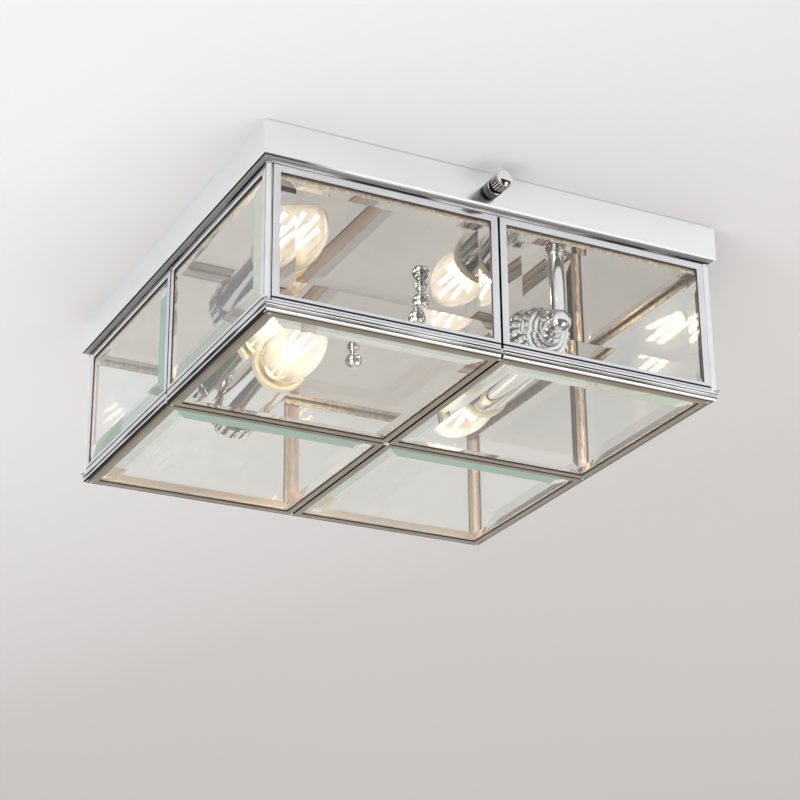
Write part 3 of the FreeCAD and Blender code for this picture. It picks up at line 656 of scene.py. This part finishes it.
def solder_finish(name):
    """Copper and tin by noise, with pale specks, and black on the faces that show outside through a seam, as
    painted shade of the narrow seam.
    """
    mat, tree, shader = new_finish(name)
    at = place(tree)
    wide, far = outwards(tree, at)
    cloud, specks = grain(tree, 90, 5), grain(tree, 900)
    on_side = ramp(tree, far, OUT_HALF - FACE_SKIN[1], OUT_HALF - FACE_SKIN[0], 0, 1)
    on_foot = ramp(tree, at["Z"], FOOT + FACE_SKIN[0], FOOT + FACE_SKIN[1], 1, 0)
    colour = layered(tree, mottled(tree, cloud, (0.80, 0.70, 0.60), (0.88, 0.64, 0.47), 0.38, 0.62),
                     (ramp(tree, specks, 0.56, 0.68, 0, 0.9), (0.98, 0.93, 0.86)),
                     (both(tree, calc(tree, "MAXIMUM", on_side, on_foot), seam_mask(tree, wide)), SEAM_SHADE_BLACK))
    dress(tree, shader, colour, ramp(tree, specks, 0.3, 0.7, 0.28, 0.5), height=specks, rise=0.00025)
    return mat


solder = solder_finish("rough solder")
piece("solder_runs", runs, solder, "glass_shade", ["solder_seams"])


# %% Solder drops
def angles(around):
    """Equal steps round a full turn, as one row."""
    return np.linspace(0, 2 * np.pi, around, endpoint=False)[None, :]


def drop(centre, radii, turns=12):
    """A flattened drop: an ellipsoid (a cos b cos c, b cos b sin c, c sin b) about its centre."""
    b = np.linspace(-np.pi / 2, np.pi / 2, 9)[:, None]
    c = angles(turns)
    rows = np.stack([radii[0] * np.cos(b) * np.cos(c), radii[1] * np.cos(b) * np.sin(c),
                     radii[2] * np.sin(b) + 0 * c], axis=-1)
    return skin(rows + np.array(centre, float))


spots = [((146.8, -146.8, -108.0), (1.4, 1.4, 1.4)), ((0, -144.9, -110.6), (0.8, 0.9, 2.2)),
         ((142.2, -142.2, -114.6), (1.8, 1.8, 0.5)), ((0, -142.2, -114.5), (1.2, 1.4, 0.5)),
         ((145.3, -145.3, -25.2), (1.6, 1.6, 1.1)), ((0, -145.5, -25.0), (0.8, 0.7, 0.9))]
drops = [quarter_turned(wavy(drop(*spot), 0.05, 3.1), turn) for turn in range(4) for spot in spots]
drops.append(wavy(drop((0, 0, -114.8), (2.2, 2.2, 0.35)), 0.05, 3.0))
piece("solder_drops", drops, bead_chrome, "glass_shade")

# %% [markdown]
# ## The lamps' own axes
# Both lamps lie flat and are alike, turned by half a turn, and each points a few degrees outwards. The left
# one hangs a little higher. So a lamp is drawn once, with its ball at the origin and its length along +Y, and
# is then put in place twice.

# %% Put lamp pieces in place
TOE = math.radians(4)
BALLS = {"right": np.array([50.5, -124.0, -73.501]), "left": np.array([57.5, -124.0, -64.54])}
PAN_FLOOR = -28.0


def in_place(part, side):
    """(x, y) turns by the toe t to (x cos t + y sin t, y cos t - x sin t), and moves to the ball's place. The
    left lamp then turns by half a turn, to (-x, -y)."""
    c, s = math.cos(TOE), math.sin(TOE)
    points = part[0] @ np.array([[c, s, 0], [-s, c, 0], [0, 0, 1]]).T + BALLS[side]
    return (points if side == "right" else points * (-1, -1, 1)), part[1]


def lamp_pieces(name, parts, material, instead=(), body="ceiling_side"):
    """One object for each lamp, from the same parts or from parts by side. A bulb's pieces ride on their own
    lamp's bulb."""
    made = {}
    for side in BALLS:
        own = parts[side] if isinstance(parts, dict) else parts
        placed = [in_place(part, side) for part in own]
        carrier = body + "_" + side if body == "bulb" else body
        nodes_out = [node + "_" + side for node in instead]
        made[side] = piece(name + "_" + side, placed, material, carrier, nodes_out)
    return made


print("balls of the lamps at", {side: at.tolist() for side, at in BALLS.items()}, "mm")

# %% [markdown]
# ## Stems, balls and cups
# A plain stem with a rounded collar at its top ends in a ball. Behind the lamp the ball carries a cup: three
# turned rings that grow outwards, and then a flare pressed in round lobes. A lobe is the absolute value of a
# sine, which gives round ridges with sharp valleys between them.

# %% Turned surfaces
def rings(r, h, a):
    """Points (r cos a, h, r sin a) about the Y axis."""
    return np.stack([r * np.cos(a), h + 0 * a, r * np.sin(a)], axis=-1)


def turned(profile, around=48, closed=True):
    """A surface of revolution about the Y axis: each profile point (r, h) becomes a ring. An open profile
    starts and ends on the axis."""
    r, h = np.asarray(profile, float).T[:, :, None]
    return skin(rings(r, h, angles(around)), loop=closed)


def upright(part):
    """Turns the Y axis up to +Z: (x, y, z) becomes (x, -z, y)."""
    points, faces = part
    return np.stack([points[:, 0], -points[:, 2], points[:, 1]], axis=1), faces


print("outlines can be turned")

# %% Stem, collar, ball
BALL_R, STEM_R, BORE_R, INTO_BALL = 7.7, 4.8, 2.6, 4.0
a = np.linspace(0, np.pi, 25)
ball = turned(np.stack([BALL_R * np.sin(a), -BALL_R * np.cos(a)], axis=1), 48, closed=False)
stems, collars = {}, []
for side, ball_at in BALLS.items():
    lift = PAN_FLOOR - ball_at[2]
    stem_outline = rounded([(BORE_R, INTO_BALL), (STEM_R, INTO_BALL), (STEM_R, lift - 0.1),
                            (BORE_R, lift - 0.1)], 0.3)
    stems[side] = [upright(turned(stem_outline))]
    ring_outline = np.concatenate([[(4.85, lift - 3.6), (4.85, lift - 1.3)],
                                   arc((5.3, lift - 2.45), (-1.2, 1.15), 90, -90, 11)])
    collars.append(in_place(upright(turned(ring_outline)), side))
lamp_pieces("straight_stem", stems, chrome, ["stem"])
lamp_pieces("stem_foot_ball", [ball], chrome, ["stem_ball"])
piece("collar_rings", collars, chrome, "ceiling_side", ["stem_collars"])

# %% Lobes and their finish
CUP_LOBES, LOBE_DEPTH = 18, 0.065


def lobed(profile, around=252):
    """A turned profile (r, h, w). Its radius is r (1 - depth v) with v = w (1 - |sin(n a / 2)|^0.8), where w
    is 1 on the lobes and 0 elsewhere. Returns the surface, and v at each of its points."""
    r, h, w = np.asarray(profile, float).T[:, :, None]
    ang = angles(around)
    valley = w * (1 - np.abs(np.sin(CUP_LOBES * ang / 2)) ** 0.8)
    return skin(rings(r * (1 - LOBE_DEPTH * valley), h, ang), loop=True), valley


def store(made, name, values):
    """Keeps one number for each point of a piece, for its material to read."""
    made.data.attributes.new(name, "FLOAT", "POINT").data.foreach_set("value", np.ravel(values))
    print(made.name, "has", name, round(float(np.min(values)), 3), "to", round(float(np.max(values)), 3))


def cup_finish(name):
    """Chrome with painted shade: it turns dark where the valley value of a point is high, in the grooves."""
    mat, tree, shader = new_finish(name)
    haze = grain(tree, 60)
    valley = add(tree, "ShaderNodeAttribute", attribute_name="valley").outputs["Fac"]
    colour = layered(tree, mottled(tree, haze, (0.93, 0.93, 0.935), (0.88, 0.88, 0.885)),
                     (ramp(tree, valley, 0.35, 0.75, 0, 1), (0.045, 0.045, 0.048)))
    dress(tree, shader, colour, ramp(tree, haze, 0.3, 0.7, 0.02, 0.05))
    return mat


print(CUP_LOBES, "lobes")

# %% Lobed cup
cup_outline, meets = [(2.1, 5.5, 0), (4.5, 5.5, 0), (4.5, 9.0, 0), (5.8, 9.05, 0)], []
for k in range(3):
    ring = arc((6.55 + 3 * k, 9.85 + 1.7 * k), (-0.95, 0.8), -80, 80, 7)
    cup_outline += [(r, h, 0) for r, h in ring] + [(6.3 + 3 * k, 10.72 + 1.7 * k, 0)]
    meets.append(len(cup_outline) - 1)
meets.append(len(cup_outline))
cup_outline += [(12.9, 14.2, 0), (13.7, 14.4, 0.5), (15.4, 15.6, 1), (16.7, 16.9, 1), (17.5, 18.4, 1),
                (17.8, 20.5, 1), (17.8, 24.0, 1), (17.85, 28.0, 1), (18.1, 31.5, 1), (18.5, 33.6, 1),
                (18.35, 34.0, 1), (16.4, 34.0, 0), (15.75, 33.3, 0), (15.75, 18.0, 0), (6.5, 12.0, 0),
                (2.1, 12.0, 0)]
cup_part, valley = lobed(cup_outline)
# Where the turned rings meet counts as a deep valley, so painted shade lies in those creases too.
valley[meets] = 1
for cup in lamp_pieces("lobed_cup", [cup_part], cup_finish("cup chrome"), ["fluted_cup"]).values():
    store(cup, "valley", valley)

# %% [markdown]
# ## Tube, holder and bulb
# The bright tube covers a pale lamp holder, whose ring closes its mouth. The bulb is a clear candle: a thin
# closed wall of glass, so that it shows both surfaces, with a short glass mount and four long filaments on
# wire hooks inside.

# %% Tube and holder
tube_outline = rounded([(14.8, 18.4), (15.55, 18.4), (15.6, 60), (15.6, 100.6), (15.9, 101.4), (15.9, 102.4),
                        (15.5, 103.0), (14.8, 103.0)], 0.3)
lamp_pieces("bright_tube", [turned(tube_outline, 72)], chrome, ["holder_tube"])

holder_outline = rounded([(7.5, 60), (12.5, 60), (14.6, 66), (14.6, 103.1), (17.6, 103.1), (17.6, 106.6),
                          (16.9, 107.5), (15.0, 107.5), (14.6, 106.9), (13.4, 103.4), (13.4, 98),
                          (7.5, 98)], 0.5)


def satin_plastic(name, light, dark, rough, through=0.0, scale=60.0):
    """Smooth plastic with a faint grain. Through is the share of light that goes a little way in."""
    mat, tree, shader = new_finish(name)
    cloud, fine = grain(tree, scale, 4), grain(tree, scale * 12)
    dress(tree, shader, mottled(tree, cloud, light, dark), ramp(tree, fine, 0.3, 0.7, *rough), 0.0,
          height=fine, rise=0.00003)
    if through:
        shader.inputs["Subsurface Weight"].default_value = through
        shader.inputs["Subsurface Radius"].default_value = (0.004, 0.003, 0.002)
    return mat


cream = satin_plastic("cream holder plastic", (0.86, 0.76, 0.58), (0.80, 0.69, 0.50), (0.26, 0.36), 0.25)
lamp_pieces("cream_holder", [turned(holder_outline, 72)], cream, ["lamp_holder"])

# %% Screw cap
THREAD_START, THREAD_END, PITCH = 75.5, 97.5, 2.82


def screw_cap(around=64):
    """The radius is 6.6 + 0.33 cos(2 pi (h / pitch) - a): a rounded thread that climbs one pitch each turn
    and fades out over 2.5 mm at both ends."""
    h, ang = np.linspace(THREAD_START, THREAD_END, 90)[:, None], angles(around)
    ease = np.clip(np.minimum(h - THREAD_START, THREAD_END - h) / 2.5, 0, 1)
    thread = (6.6 + 0.33 * ease * np.cos(2 * np.pi * h / PITCH - ang), h)
    tip = np.array([(0, 70.0), (1.6, 70.1), (1.9, 70.8), (1.9, 72.0), (5.4, 73.6), (6.3, 74.6)]).T[:, :, None]
    collar = np.array([(6.7, 98.4), (8.2, 99.6), (8.5, 100.6), (0, 100.6)]).T[:, :, None]
    return skin(np.concatenate([rings(*part, ang) for part in (tip, thread, collar)]))


lamp_pieces("screw_cap", [screw_cap()], cap_metal, ["bulb_cap"], "bulb")

# %% Candle bulb
START, LONG, WIDE, WALL = 100.7, 76.0, 35.0, 0.7
shares = np.array([(0, 0.48), (0.05, 0.60), (0.12, 0.77), (0.22, 0.92), (0.33, 0.99), (0.41, 1.0),
                   (0.52, 0.965), (0.63, 0.87), (0.74, 0.70), (0.84, 0.49), (0.92, 0.28), (0.97, 0.14),
                   (0.995, 0.05), (1.0, 0.0)])


def smooth_outline(points, count):
    """A smooth line through points: each coordinate is a sum of cubic Hermite pieces in the chord length,
    with slopes from the neighbours' differences."""
    p = np.asarray(points, float)
    s = np.concatenate([[0], np.cumsum(np.linalg.norm(np.diff(p, axis=0), axis=1))])
    slope = np.gradient(p, s, axis=0)
    at = np.linspace(0, s[-1], count)
    k = np.clip(np.searchsorted(s, at, side="right") - 1, 0, len(s) - 2)
    step = (s[k + 1] - s[k])[:, None]
    t = ((at - s[k]) / (s[k + 1] - s[k]))[:, None]
    return ((2 * t**3 - 3 * t**2 + 1) * p[k] + (t**3 - 2 * t**2 + t) * step * slope[k]
            + (3 * t**2 - 2 * t**3) * p[k + 1] + (t**3 - t**2) * step * slope[k + 1])


outer = smooth_outline([(share * WIDE / 2, START + LONG * along) for along, share in shares], 44)
outer[-1, 0] = 0
inner_wall = outer.copy()
inner_wall[:, 0] = np.maximum(outer[:, 0] - WALL, 0)
inner_wall = inner_wall[(outer[:, 0] > WALL) & (outer[:, 1] < START + LONG - 1.6)]
inner_wall = np.concatenate([inner_wall, [(0, START + LONG - 1.3)]])
wall = np.concatenate([outer[::-1], inner_wall])
bulb_tint, bulb_film = (0.985, 0.97, 0.93), (0.97, 0.96, 0.93)
# The haze is a painted glow of the filaments' light on the bulb glass.
bulb_glass = clear_glass("bulb glass", bulb_tint, 1.46, bulb_film, haze=((1.0, 0.86, 0.70), 0.60, 0.06))
mount_glass = clear_glass("mount glass", bulb_tint, 1.46, bulb_film)
candle = turned(wall, 72, closed=False)
bulbs = lamp_pieces("candle_glass", [candle], bulb_glass, ["bulb_glass"], "bulb")

# %% Painted glow near the filaments
GLOW_MIDDLE, GLOW_REACH = 144, 17


def nearness(bulb, side):
    """exp(-((h - 144) / 17)^2) at each point, where h is its distance along the lamp from the ball in mm: how
    near it is to the glowing sticks, which sets the strength of the glow painted on the bulb glass."""
    points = np.zeros(len(bulb.data.vertices) * 3)
    bulb.data.vertices.foreach_get("co", points)
    sign = 1 if side == "right" else -1
    axis = np.array([math.sin(TOE), math.cos(TOE), 0]) * sign
    h = (points.reshape(-1, 3) / MM - BALLS[side] * (sign, sign, 1)) @ axis
    return np.exp(-((h - GLOW_MIDDLE) / GLOW_REACH) ** 2)


for side, bulb in bulbs.items():
    store(bulb, "nearness", nearness(bulb, side))

# %% [markdown]
# ## Filaments
# Four long sticks glow warm white. Each is carried by a thin wire that ends in a small hook over its far
# end. A stick or a wire is a tube: a circle carried along a flat path, whose two directions are the path's
# own side and the cross product of its tangent with that side.

# %% Tubes along flat paths
def tube(path, radius, side, around=12):
    """p(s) + r (side cos a + (tangent x side) sin a), with closed ends."""
    path = np.asarray(path, float)
    tangent = np.gradient(path, axis=0)
    tangent /= np.linalg.norm(tangent, axis=1, keepdims=True)
    over = np.cross(tangent, side)
    ang = angles(around)[..., None]
    return capped(path[:, None] + radius * (np.cos(ang) * side + np.sin(ang) * over[:, None]))


MOUNT = START + 22
STICK_R, WIRE_R, LEAD_R, CURL_R = 1.2, 0.32, 0.3, 1.25
sticks, hooks = [], []
for k in range(4):
    out = np.array([math.cos(math.radians(45 + 90 * k)), 0, math.sin(math.radians(45 + 90 * k))])
    side = np.cross(Y, out)
    foot_at, tip_at = out * 3.4 + Y * (MOUNT - 4), out * 6.6 + Y * (MOUNT + 34)
    t = np.linspace(0, 1, 8)[:, None]
    sticks.append(tube((1 - t) * foot_at + t * tip_at, STICK_R, side))
    turn = np.linspace(-0.5 * np.pi, 1.15 * np.pi, 16)[:, None]
    curl = tip_at + out * CURL_R * np.cos(turn) - out * 0.2 + Y * (2.2 + CURL_R * np.sin(turn))
    hooks.append(tube(np.concatenate([[tip_at - Y * 0.5 - out * 0.2], curl]), WIRE_R, side, 8))
    hooks.append(tube([Y * (MOUNT - 7) + out * 0.8, Y * (MOUNT - 4.5) + out * 1.6, foot_at], LEAD_R, side, 8))


def glowing(name, colour, strength):
    """A surface that gives off its own warm light, a little uneven along its length."""
    mat, tree, shader = new_finish(name)
    warm = mottled(tree, grain(tree, 900, 2), colour, (1.0, 0.90, 0.70), 0.3, 0.7)
    dress(tree, shader, warm, 0.4, 0.0)
    put(tree, shader.inputs["Emission Color"], warm)
    shader.inputs["Emission Strength"].default_value = strength
    return mat


glow = glowing("glowing filament", (1.0, 0.86, 0.60), 26.0)
lamp_pieces("filament_sticks", sticks, glow, ["filaments"], "bulb")
lamp_pieces("filament_hooks", hooks, plated, body="bulb")
mount_outline = rounded([(0, START + 0.3), (6.5, START + 0.6), (4.2, START + 4), (2.5, START + 9),
                         (2.3, MOUNT - 6), (2.9, MOUNT - 3.5), (0, MOUNT - 3)], 1.0, closed=False)
lamp_pieces("glass_mount", [turned(mount_outline, 32, closed=False)], mount_glass, body="bulb")

# %% [markdown]
# ## Hand screws
# A hand screw is turned, and then two parts of it are knurled so that fingers can grip. The knurl is a fine
# sawtooth in the radius, straight along the screw on the outer part and crossed on the inner part.

# %% Knurled finish
SCREW_X, SCREW_Z = 8.0, -13.0


def knurled_finish(name):
    """Chrome whose grooves are painted dark as shade: the distance from the screw's axis,
    sqrt((|x| - 8)^2 + (z + 13)^2) mm, tells a groove from a ridge. The inner part has more of this painted
    shade, and the rounded end past |y| = 168 mm is bright."""
    mat, tree, shader = new_finish(name)
    at = place(tree)
    across, out = outwards(tree, at)[0]
    flat = add(tree, "ShaderNodeCombineXYZ", [("X", calc(tree, "SUBTRACT", across, SCREW_X * MM)),
                                              ("Y", calc(tree, "SUBTRACT", at["Z"], SCREW_Z * MM))])
    away = add(tree, "ShaderNodeVectorMath", [(0, flat.outputs[0])], operation="LENGTH").outputs["Value"]
    # Painted shade: all that lies nearer the axis than the ridges is near black.
    ridge = both(tree, ramp(tree, away, 0.00505, 0.00522, 0, 1), ramp(tree, out, 0.1571, 0.1573, 0.4, 1))
    ridge = calc(tree, "MAXIMUM", ridge, ramp(tree, out, 0.1675, 0.1680, 0, 1))
    haze = grain(tree, 300)
    bright = mottled(tree, haze, (0.92, 0.92, 0.925), (0.86, 0.86, 0.865))
    colour = blended(tree, ridge, (0.02, 0.02, 0.022), bright)
    dress(tree, shader, colour, ramp(tree, haze, 0.3, 0.7, 0.06, 0.12))
    return mat


knurled_chrome = knurled_finish("knurled chrome")
print("knurled chrome is ready")

# %% Knurled hand screws
PLAIN, CROSSED, STRAIGHT = 0, 1, 2


def hand_screw(around=216):
    """Radius r(h) less depth(h) times a wave: (1 + cos(20 a)) / 2 on the straight knurl, and
    1 - |cos(9 a + 1.7 h)| |cos(9 a - 1.7 h)| on the crossed one. h runs outwards from the band."""
    outline = [(r, h, PLAIN) for r, h in ((0, 0.12), (4.2, 0.12), (4.8, 0.4), (4.8, 1.2), (4.6, 1.5),
                                          (5.0, 1.6))]
    outline += [(5.4, 2.1 + 0.3 * k, CROSSED) for k in range(20)]
    outline += [(r, h, PLAIN) for r, h in ((5.4, 8.0), (4.9, 8.4), (3.8, 8.6), (3.8, 10.1), (4.9, 10.3))]
    outline += [(5.4, h, STRAIGHT) for h in (10.8, 11.4, 16.6, 17.6)]
    outline += [(r, h, PLAIN) for r, h in ((5.1, 18.5), (4.4, 19.4), (3.2, 20.3), (1.6, 20.8), (0, 20.9))]
    r, h, kind = np.array(outline, float).T[:, :, None]
    ang = angles(around)
    crossed = 1 - np.abs(np.cos(9 * ang + 1.7 * h)) * np.abs(np.cos(9 * ang - 1.7 * h))
    straight = (1 + np.cos(20 * ang)) / 2
    r = r - 0.42 * (kind == CROSSED) * crossed - 0.55 * (kind == STRAIGHT) * straight
    return skin(rings(r, -h, ang))


shank = turned([(0, 0.0), (2.0, 0.0), (2.0, 10.3), (1.4, 10.4), (0, 10.4)], 32, closed=False)
for where, sign in (("front", 1), ("back", -1)):
    seat = (-SCREW_X * sign, -BAND_HALF * sign, SCREW_Z)
    parts = [(points * (sign, sign, 1) + seat, faces) for points, faces in (hand_screw(), shank)]
    screw = "hand_screw_" + where
    piece("knurled_screw_" + where, parts, knurled_chrome, screw, [screw], sharp=math.radians(40))

# %% [markdown]
# ## Ball nuts
# Two nuts with ball ends hold the pan up, and the mirror shows each one twice. A turned outline with a small
# ring at the plate, a waist and a ball is all that they are.

# %% Two ball nuts
PAN_FOOT, NUT_Y, NUT_BALL = -28.1, 47.0, 5.5
b = np.linspace(0, np.pi, 19)
ball_arc = np.stack([NUT_BALL * np.sin(b), -9.6 - NUT_BALL * np.cos(b)], axis=1)[:-2]
nut_outline = np.concatenate([ball_arc, [(2.7, -3.9), (2.5, -3.2), (3.3, -2.8), (3.5, -2.3), (3.2, -1.8),
                                         (3.7, -1.4), (4.2, -0.9), (4.2, -0.1), (4.0, 0.0), (0, 0.0)]])
points, faces = upright(turned(nut_outline, 48, closed=False))
for where, y in (("front", -NUT_Y), ("back", NUT_Y)):
    nut = "ball_nut_" + where
    piece("ball_end_nut_" + where, [(points + (0, y, PAN_FOOT), faces)], chrome, nut, [nut])

# %% [markdown]
# ## The parts above the pan
# The pan, the strap, the nuts and the wiring are right as the CAD has them: sheet, bar and small hardware.
# They keep their shapes and get their finishes here.

# %% Finishes for CAD nodes
white_plastic = satin_plastic("terminal plastic", (0.80, 0.80, 0.78), (0.74, 0.74, 0.72), (0.35, 0.45))
wire_cover = satin_plastic("wire cover", (0.82, 0.81, 0.78), (0.76, 0.75, 0.72), (0.3, 0.4), 0.0, 200)
kept = {"ceiling_pan": mirror, "mounting_strap": zinc, "pan_studs": plated, "hex_nuts": plated,
        "band_bushes": plated, "terminal_block": white_plastic, "terminal_screws": brass,
        "lamp_wires": wire_cover, "contacts_right": brass, "contacts_left": brass}
for name, material in kept.items():
    for spot in nodes[name].material_slots:
        spot.material = material
print(len(kept), "CAD nodes have their finishes")

# %% [markdown]
# ## The room
# The light is fixed under a pale ceiling, so the plain floor of this studio is overhead. It is a sheet that
# shows from below only, and lets the room's light pass, so that the top of the object can be looked at too.
# Metal is only as good as what it reflects: the room is pale above and a little warmer below, and a dark
# ring below the horizon, broken by a few bright windows, gives polished metal its black and white streaks.
# There are two such rooms: one for the metal outside, and one with other windows for what lies behind glass.

# %% Ceiling sheet
CEILING_HALF, CEILING_Z = 6.0, 0.0002


def ceiling_finish(name):
    """Pale paint with faint blotches. Painted light makes it run from pale to warm grey away from the window,
    and painted shade makes it darker where its lamp comes near. Mirrors show a painted reflection of it,
    paler and set across X. Shadows, soft light and the view from above pass through it."""
    mat, tree, shader = new_finish(name)
    at = add(tree, "ShaderNodeTexCoord").outputs["Object"]
    dot = add(tree, "ShaderNodeVectorMath", [(0, at), (1, (0.96, 0.27, 0.0))], operation="DOT_PRODUCT")
    along = dot.outputs["Value"]
    # Painted light and shade: paler towards the window, warm grey away from it, and darker again near its
    # lamp.
    paint = layered(tree, mottled(tree, along, (0.92, 0.915, 0.915), (0.705, 0.68, 0.66), -0.25, 0.45),
                    (ramp(tree, grain(tree, 2.2, 2), 0.3, 0.7, 0, 0.1), (0.78, 0.77, 0.76)),
                    (ramp(tree, along, -1.7, -0.45, 1, 0), (0.56, 0.555, 0.55)))
    across = place(tree)["X"]
    # Painted reflection: mirrors see the ceiling in colours of its own, lightest towards +X.
    mirrored = blended(tree, ramp(tree, across, -0.02, 0.10, 0, 1), (0.90, 0.90, 0.905), (0.98, 0.98, 0.98))
    mirrored = blended(tree, ramp(tree, across, -0.16, -0.13, 0, 1), (0.93, 0.93, 0.935), mirrored)
    path = add(tree, "ShaderNodeLightPath").outputs
    glance = calc(tree, "GREATER_THAN", path["Glossy Depth"], 0.5)
    dress(tree, shader, blended(tree, glance, paint, mirrored), 0.9, 0.0)
    from_above = add(tree, "ShaderNodeNewGeometry").outputs["Backfacing"]
    hidden = calc(tree, "MAXIMUM", path["Is Shadow Ray"], path["Is Diffuse Ray"])
    hidden = calc(tree, "MAXIMUM", hidden, from_above)
    clear = add(tree, "ShaderNodeBsdfTransparent")
    surface_of(tree, mixed(tree, hidden, shader.outputs["BSDF"], clear.outputs[0]))
    return mat


sheet_mesh = bpy.data.meshes.new("ceiling")
corners = [(x * CEILING_HALF, y * CEILING_HALF, CEILING_Z) for x, y in ((-1, -1), (-1, 1), (1, 1), (1, -1))]
sheet_mesh.from_pydata(corners, [], [(0, 1, 2, 3)])
sheet_mesh.materials.append(ceiling_finish("ceiling paint"))
put_in_scene("ceiling", sheet_mesh)
print("ceiling faces down:", sheet_mesh.polygons[0].normal.z < 0)

# %% World
world = bpy.context.scene.world or bpy.data.worlds.new("room")
bpy.context.scene.world = world
world.use_nodes = True
tree = world.node_tree
tree.nodes.clear()
sky = add(tree, "ShaderNodeTexCoord").outputs["Generated"]
way = add(tree, "ShaderNodeSeparateXYZ", [("Vector", sky)]).outputs
rise, turn = way["Z"], calc(tree, "ARCTAN2", way["Y"], way["X"])
pale = blended(tree, ramp(tree, rise, -0.25, 0.05, 0, 1), (0.76, 0.72, 0.675), (0.84, 0.84, 0.84))
below = ramp(tree, rise, -0.02, 0.04, 1, 0)
print("the pale part of the room is ready")


# %% The dark ring and its windows
def outside(*windows):
    """1 outside every window (middle, half width), in radians round the room, and 0 inside one."""
    total = 1.0
    for middle, half_width in windows:
        off = calc(tree, "ABSOLUTE", calc(tree, "SUBTRACT", turn, middle))
        total = both(tree, total, ramp(tree, off, half_width, half_width + 0.08, 0, 1))
    return total


ring = calc(tree, "MAXIMUM", ramp(tree, rise, -0.74, -0.68, 0, 1), ramp(tree, turn, -1.2, -1.05, 1, 0))
ring = both(tree, ring, outside((1.10, 0.58), (-2.60, 0.30), (0.15, 0.22), (2.95, 0.18)))
around_room = blended(tree, both(tree, below, ring), pale, (0.03, 0.03, 0.032))
gloom = blended(tree, ramp(tree, rise, -0.93, -0.80, 0, 1), (0.55, 0.54, 0.52), (0.05, 0.05, 0.052))
shade_in = both(tree, below, outside((1.10, 0.62), (-2.45, 0.14), (-0.35, 0.16)))
inside_room = blended(tree, shade_in, pale, gloom)
path = add(tree, "ShaderNodeLightPath").outputs
glazed = calc(tree, "GREATER_THAN", path["Transmission Depth"], 0.5)
mirrored = calc(tree, "GREATER_THAN", path["Glossy Depth"], 0.5)
seen = blended(tree, mirrored, pale, blended(tree, glazed, around_room, inside_room))
shown = add(tree, "ShaderNodeBackground", [("Color", seen), ("Strength", 1.0)])
fill = add(tree, "ShaderNodeBackground", [("Color", (0.95, 0.95, 0.96)), ("Strength", 0.74)])
room = mixed(tree, path["Is Diffuse Ray"], shown.outputs[0], fill.outputs[0])
tree.links.new(room, add(tree, "ShaderNodeOutputWorld").inputs["Surface"])
print("world is ready")


# %% Lamps of the studio
def facing(right, up, back, at):
    """The matrix of a lamp or camera, from its three directions and its place."""
    return Matrix([[right[k], up[k], back[k], at[k]] for k in range(3)] + [[0, 0, 0, 1]])


def soft_lamp(name, at, size, power, colour=(1, 1, 1)):
    """A square lamp that faces the middle of the object."""
    light = bpy.data.lights.new(name, "AREA")
    light.shape, light.size, light.energy, light.color = "SQUARE", size, power, colour
    lamp = put_in_scene(name, light)
    back = np.array(at) / np.linalg.norm(at)
    right = np.cross(Z, back)
    right /= np.linalg.norm(right)
    lamp.matrix_world = facing(right, np.cross(back, right), back, at)
    print(name, power, "W")
    return lamp


window = soft_lamp("window", (-2.2, -1.2, -1.6), 2.6, 38)
window.visible_glossy = False
soft_lamp("room_fill", (1.6, -2.4, -2.2), 2.0, 16, (1.0, 0.98, 0.95))
soft_lamp("top_fill", (0.8, 0.6, 2.4), 2.0, 20)

# %% [markdown]
# ## Camera
# The camera stands in front of and below the light, and was fitted to the corners of the band and the glass.
# Its three directions are given as rows: right, up and back.

# %% Camera
PIXELS_WIDE, FOCAL_PIXELS, SENSOR = 800, 2155.8, 36.0
eye = (-0.56123, -1.10702, -0.61085)
right, up, back = (0.8905, -0.4548, -0.0094), (-0.1696, -0.3512, 0.9208), (-0.4221, -0.8184, -0.3899)
camera = put_in_scene("camera", bpy.data.cameras.new("camera"))
camera.data.sensor_width = SENSOR
camera.data.lens = FOCAL_PIXELS / PIXELS_WIDE * SENSOR
camera.data.clip_start, camera.data.clip_end = 0.05, 50
camera.matrix_world = facing(right, up, back, eye)
bpy.context.scene.camera = camera
bpy.context.scene.view_settings.view_transform = "Standard"
print("lens", round(camera.data.lens, 2), "mm")
